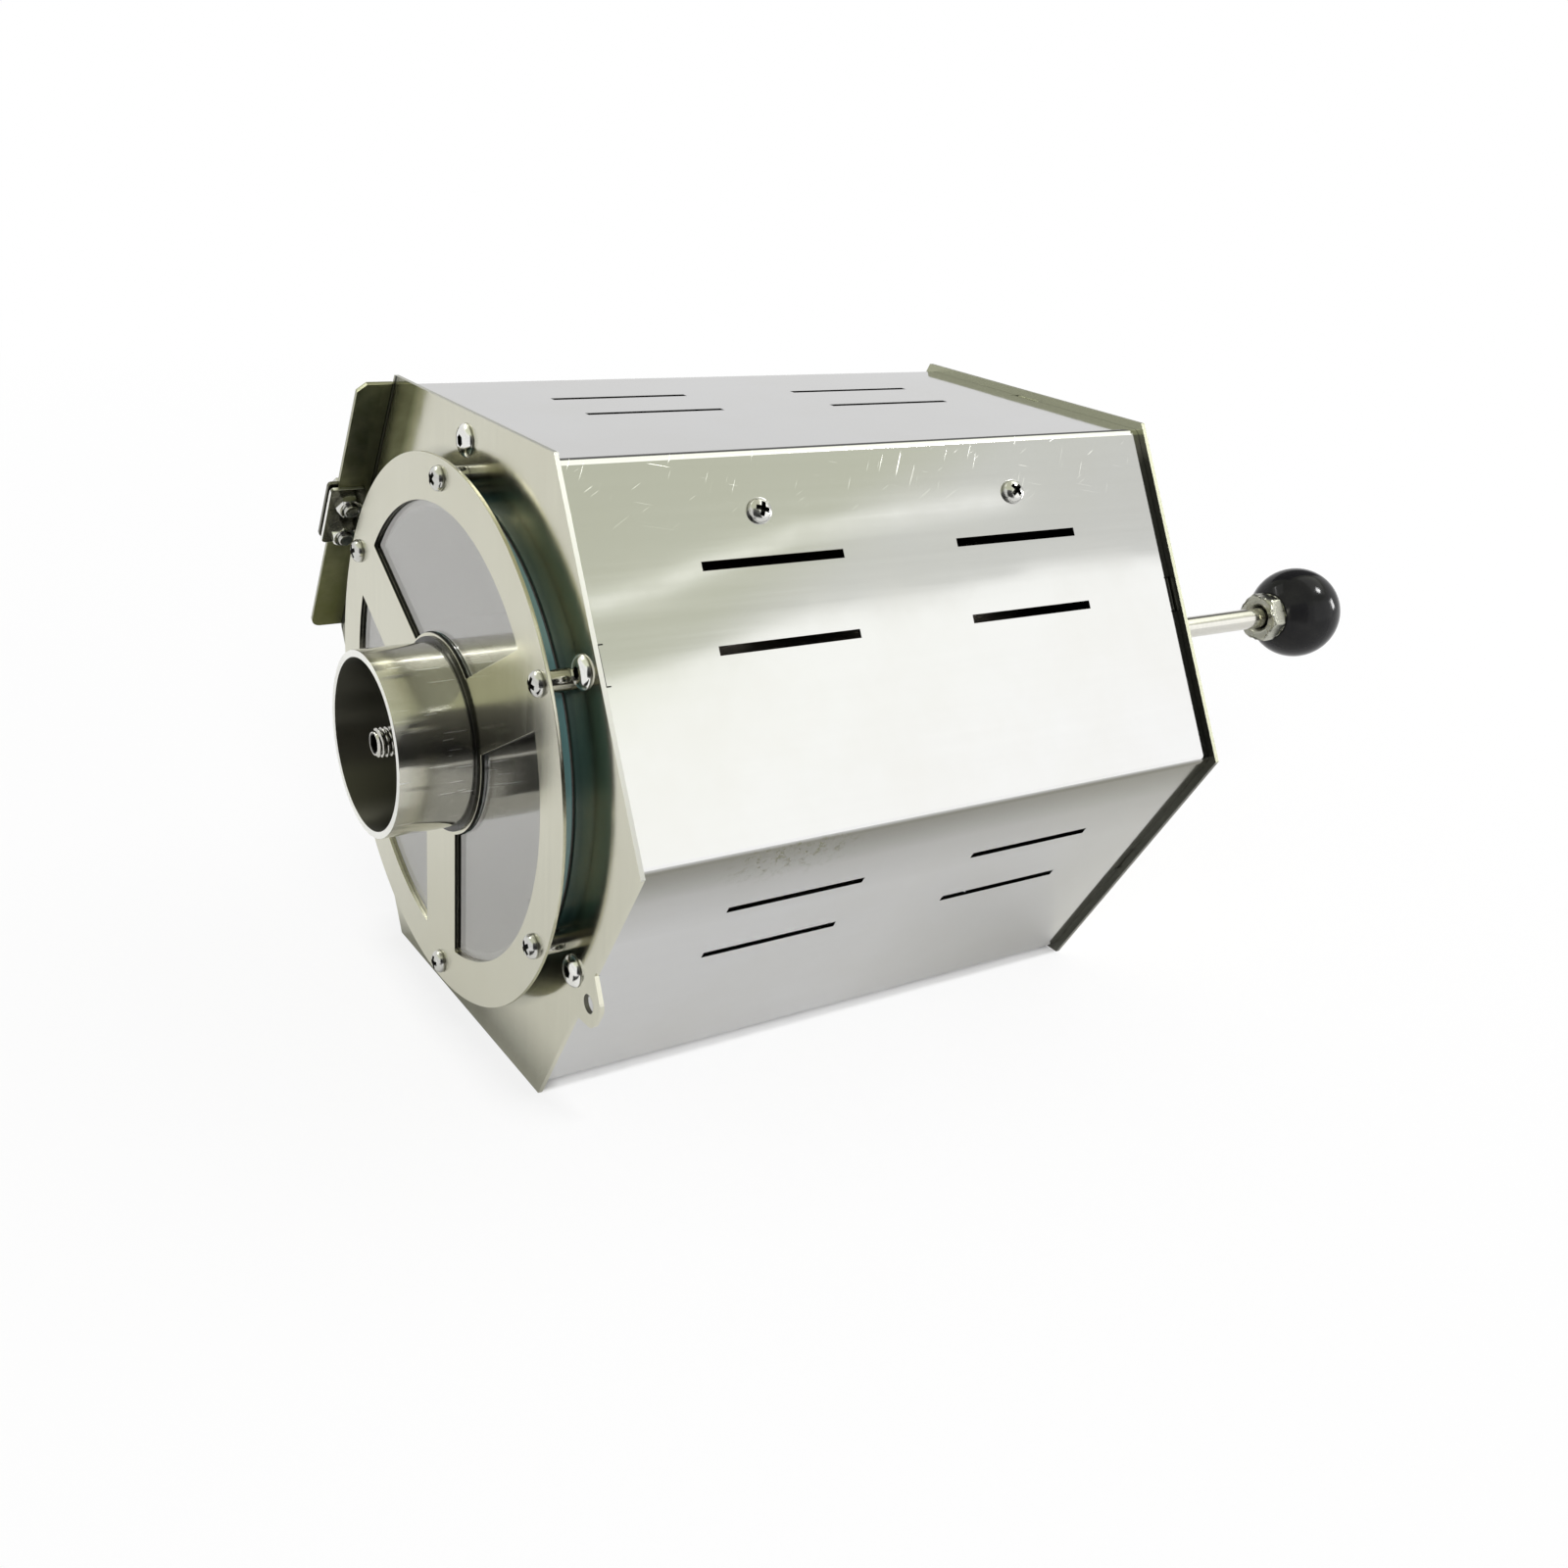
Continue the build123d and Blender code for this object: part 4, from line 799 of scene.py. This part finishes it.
# Painted shade in the bore, which is also rougher there.
inside = falling(tree, from_axis(tree), *TUBE_BORE)
lay_over(tube_steel, inside, TUBE_INNER_SHADE, 0.4)
right, back, up = on_face(tree, 0)
lay_over(tube_steel, falling(tree, back, *TUBE_MOUTH), TUBE_CUT, 0.35)
flat = vector(tree, X=back, Y=product(tree, sums(tree, "ARCTAN2", up, right), TUBE_RADIUS))
for turn, size, rarity in TUBE_SCRATCHES:
    scratch = product(tree, marks(tree, flat, turn, size, rarity), sums(tree, "SUBTRACT", 1.0, inside))
    lay_over(tube_steel, scratch, TUBE_SCRATCH, 0.35)
ease_edges(dress("feed_tube", tube_steel), 0.0002)
ring_black = steel("ring_black", RING_COLOUR, gloss=(0.25, 0.35), grain=(200, 200, 200), patch=90.0)
ease_edges(dress("tube_retaining_ring", ring_black), 0.0001)
dress("bush_carrier", inner_satin)

# Ball knob and lock nut: a moulded black ball, polished and faintly scuffed, screwed on the
# spindle's rear end against a turned nut of dull steel.
BALL_COLOUR = (0.008, 0.008, 0.009)
BALL_HAZE = (0.014, 0.014, 0.014)
BALL_IOR = 1.22
LOCK_NUT_COLOUR = (0.42, 0.42, 0.36)
ball, tree, shader = new_finish("ball_black")
shader.inputs["IOR"].default_value = BALL_IOR
haze = noise(tree, on_object(tree), scale=70.0, detail=6.0)
tone = blended(tree, rising(tree, haze, 0.4, 0.7), BALL_COLOUR, BALL_HAZE)
tree.links.new(tone, shader.inputs["Base Color"])
tree.links.new(spread(tree, haze, 0.35, 0.7, 0.08, 0.16), shader.inputs["Roughness"])
dress("ball_knob", ball)
nut_satin = steel("nut_satin", LOCK_NUT_COLOUR, gloss=(0.22, 0.32), grain=(300, 300, 300),
                  depth=0.04, patch=120.0)
ease_edges(dress("ball_lock_nut", nut_satin), 0.0006)

# Floor: a wide sheet of pale matt paper, which looks white away from the roaster and keeps
# its shadow. A contact shadow is painted into its colour in front of the roaster, darkest
# along the front edge, and under the roaster it is left in shade.
FLOOR_HALF = 30
FLOOR_DROP = -0.0005
FLOOR_COLOUR = (0.95, 0.95, 0.95)
FLOOR_SHADE = (0.2, 0.2, 0.185)
FLOOR_LIFT = 0.82
FOOT_SHADE = 0.02
FRONT_EDGE = (-0.2, -0.185)
UNDER_FRONT, UNDER_REAR = (-0.1935, -0.1925), (0.0295, 0.0305)
UNDER_SIDE = (0.058, 0.06)
WHITE = (1.0, 1.0, 1.0, 1.0)
floor_mesh = bpy.data.meshes.new("floor")
floor_corners = [(FLOOR_HALF * x, FLOOR_HALF * y, 0) for x, y in ((-1, -1), (1, -1), (1, 1), (-1, 1))]
floor_mesh.from_pydata(floor_corners, [], [(0, 1, 2, 3)])
floor = stand("floor", floor_mesh)
floor.location.z = FLOOR_DROP
paper, tree, shader = new_finish("floor_paper")
tree.nodes.remove(shader)
at = place_on(tree)
# Painted contact shadow in front of the roaster, darker where the floor is more hidden.
open_sky = put(tree, "AmbientOcclusion", {"Distance": FOOT_SHADE}, samples=8).outputs["AO"]
touched = sums(tree, "MAXIMUM", rising(tree, open_sky, 0.45, 1.0), rising(tree, at["Y"], *FRONT_EDGE))
matt = put(tree, "BsdfDiffuse", {"Color": blended(tree, touched, FLOOR_SHADE, FLOOR_COLOUR)})
glow = put(tree, "Emission", {"Color": WHITE, "Strength": 1.0})
away = put(tree, "VectorMath", {0: on_object(tree)}, operation="LENGTH").outputs["Value"]
seen = put(tree, "LightPath").outputs["Is Camera Ray"]
lift = product(tree, seen, spread(tree, away, 0.5, 1.4, FLOOR_LIFT, 1.0))
under = product(tree, rising(tree, at["Y"], *UNDER_FRONT), falling(tree, at["Y"], *UNDER_REAR))
under = product(tree, under, falling(tree, sums(tree, "ABSOLUTE", at["X"], 0.0), *UNDER_SIDE))
lift = product(tree, lift, sums(tree, "SUBTRACT", 1.0, under))
both = put(tree, "MixShader", {0: lift, 1: matt.outputs[0], 2: glow.outputs[0]})
tree.links.new(both.outputs[0], tree.nodes["Material Output"].inputs["Surface"])
floor_mesh.materials.append(paper)

# Room: soft white light from all round and a broad soft sun from the right. Metal and glass
# show pale walls under an olive ceiling, and the picture a plain white backdrop.
SOFT_LIGHT = 0.5
SUN_LIGHT = 2.3
SUN_SPREAD = 40
SUN_FROM = (0.769, -0.358, 0.53)
# Each stop: how high it is, from level to overhead, and the colour of the room there.
ROOM_STOPS = (
    (0.0, (0.92, 0.92, 0.93)),
    (0.12, (0.84, 0.84, 0.84)),
    (0.24, (0.84, 0.84, 0.84)),
    (0.36, (0.9, 0.9, 0.9)),
    (0.54, (0.9, 0.91, 0.85)),
    (0.575, (0.78, 0.8, 0.65)),
    (0.8, (0.72, 0.74, 0.58)),
    (1.0, (0.7, 0.7, 0.56)),
)
world = bpy.data.worlds.new("studio")
bpy.context.scene.world = world
world.use_nodes = True
tree = world.node_tree
tree.nodes.remove(tree.nodes["Background"])
direction = put(tree, "TexCoord").outputs["Generated"]
height = put(tree, "SeparateXYZ", {"Vector": direction}).outputs["Z"]
ramp = put(tree, "ValToRGB", {"Fac": height})
stops = ramp.color_ramp.elements
while len(stops) < len(ROOM_STOPS):
    stops.new(0.5)
for stop, (height, colour) in zip(stops, ROOM_STOPS):
    stop.position = height
    stop.color = (*colour, 1.0)
walls = put(tree, "Background", {"Color": ramp.outputs["Color"], "Strength": 1.0})
soft = put(tree, "Background", {"Color": WHITE, "Strength": SOFT_LIGHT})
plain = put(tree, "Background", {"Color": WHITE, "Strength": 1.0})
path = put(tree, "LightPath").outputs
shown = sums(tree, "MAXIMUM", path["Is Glossy Ray"], path["Is Transmission Ray"])
room = put(tree, "MixShader", {0: shown, 1: soft.outputs[0], 2: walls.outputs[0]})
room = put(tree, "MixShader", {0: path["Is Camera Ray"], 1: room.outputs[0], 2: plain.outputs[0]})
tree.links.new(room.outputs[0], tree.nodes["World Output"].inputs["Surface"])
lamp = bpy.data.lights.new("soft_sun", "SUN")
lamp.energy = SUN_LIGHT
lamp.angle = math.radians(SUN_SPREAD)
sun = stand("soft_sun", lamp)
sun.rotation_euler = (-Vector(SUN_FROM)).to_track_quat("-Z", "Y").to_euler()
sun.visible_glossy = False

# Soft boxes: a large one and a thin streak to the right, one overhead behind, and smaller
# ones that show in the tube, from the left, and in the ball, from behind.
TUBE_AIM = (0.0, -0.22, 0.1)
BALL_AIM = (0.0, 0.2, 0.1)


def softbox(name, centre, aim, size, radiance, lights=True):
    """A soft rectangular light that shows in the metal but not in the picture."""
    lamp = bpy.data.lights.new(name, "AREA")
    lamp.shape = "RECTANGLE"
    lamp.size, lamp.size_y = size
    lamp.energy = math.pi * lamp.size * lamp.size_y * radiance
    light = stand(name, lamp)
    light.location = centre
    light.rotation_euler = (Vector(aim) - Vector(centre)).to_track_quat("-Z", "Y").to_euler()
    light.visible_camera = False
    light.visible_diffuse = lights


softbox("right_softbox", (1.7, 1.68, 0.76), (0.0, 1.68, 0.76), size=(2.76, 1.52), radiance=0.58)
softbox("right_streak", (1.7, 1.1, 1.715), (0.0, 1.1, 1.715), size=(1.6, 0.04), radiance=0.6)
softbox("ceiling_light", (0.35, 1.75, 2.3), (0.35, 1.75, 0.0), size=(2.3, 2.0), radiance=0.9)
softbox("tube_strip", (-1.25, -0.95, 1.6), TUBE_AIM, size=(1.2, 0.08), radiance=8.0, lights=False)
softbox("tube_soft", (-1.2, -0.95, 1.8), TUBE_AIM, size=(1.3, 0.9), radiance=0.9, lights=False)
softbox("ball_high", (0.77, 1.32, 1.84), BALL_AIM, size=(0.36, 0.36), radiance=60.0, lights=False)
softbox("ball_low", (0.83, 2.17, 0.63), BALL_AIM, size=(0.36, 0.52), radiance=26.0, lights=False)

# Dark cloths: one hung to the right of the front, one on the left, and a small one laid on
# the floor in front, as painted shade on the floor there. They give the bright metal and the
# glass something dark to mirror, and glow faintly in place of being lit.
FLAG_FOOT, FLAG_TOP = 0.0, 0.62
LEFT_FOOT, LEFT_TOP = 0.92, 3.2
LAID = ((0.05, -0.246), (0.34, -0.3165), (0.34, -0.4), (0.05, -0.33))
LAID_HEIGHT = 0.002
HEM_SHADE = 0.2


def cloth(name, corners, low, high, dark, pale):
    """A cloth that glows faintly in place of being lit, paler towards its top and its hem; it only shows in
    the metal.
    """
    stuff, tree, shader = new_finish(name)
    tree.nodes.remove(shader)
    height = place_on(tree)["Z"]
    hem = spread(tree, height, low, low + 0.1, HEM_SHADE, dark)
    shade = sums(tree, "MAXIMUM", hem, spread(tree, height, low + 0.2, high, dark, pale))
    glow = put(tree, "Emission", {"Strength": shade})
    tree.links.new(glow.outputs[0], tree.nodes["Material Output"].inputs["Surface"])
    mesh = bpy.data.meshes.new(name)
    mesh.from_pydata(corners, [], [tuple(range(len(corners)))])
    mesh.materials.append(stuff)
    hung = stand(name, mesh)
    hung.visible_camera = False
    hung.visible_shadow = False
    hung.visible_diffuse = False


def hanging(start, end, low, high):
    """The corners of a cloth that hangs between two stands."""
    return [(*start, low), (*end, low), (*end, high), (*start, high)]


flag = hanging((0.36, -0.61), (0.63, 0.03), FLAG_FOOT, FLAG_TOP)
cloth("front_flag", flag, FLAG_FOOT, FLAG_TOP, dark=0.025, pale=0.16)
left = hanging((-1.5, 0.3), (-1.5, 3.6), LEFT_FOOT, LEFT_TOP)
cloth("left_wall", left, LEFT_FOOT, LEFT_TOP, dark=0.18, pale=0.18)
laid = [(*corner, LAID_HEIGHT) for corner in LAID]
cloth("laid_cloth", laid, LAID_HEIGHT - 1.0, LAID_HEIGHT + 1.0, dark=0.04, pale=0.04)

# Camera: it stands where the photograph was taken from, above and to the right of the front,
# tilted a little, with a lens of the same reach. All four come from the end plates' corners.
CAMERA_PLACE = (0.47007, -0.39311, 0.30416)
CAMERA_AIM = (0.00147, -0.06563, 0.06422)
CAMERA_TILT = 4.884
view = bpy.data.cameras.new("camera")
view.sensor_width = 36.0
view.lens = 37.83
view.shift_x = -0.00188
view.shift_y = 0.0003
view.clip_start = 0.02
camera = stand("camera", view)
looking = (Vector(CAMERA_AIM) - Vector(CAMERA_PLACE)).to_track_quat("-Z", "Y").to_matrix().to_4x4()
tilt = Matrix.Rotation(math.radians(CAMERA_TILT), 4, "Z")
camera.matrix_world = Matrix.Translation(CAMERA_PLACE) @ looking @ tilt
bpy.context.scene.camera = camera
bpy.context.scene.view_settings.view_transform = "Standard"
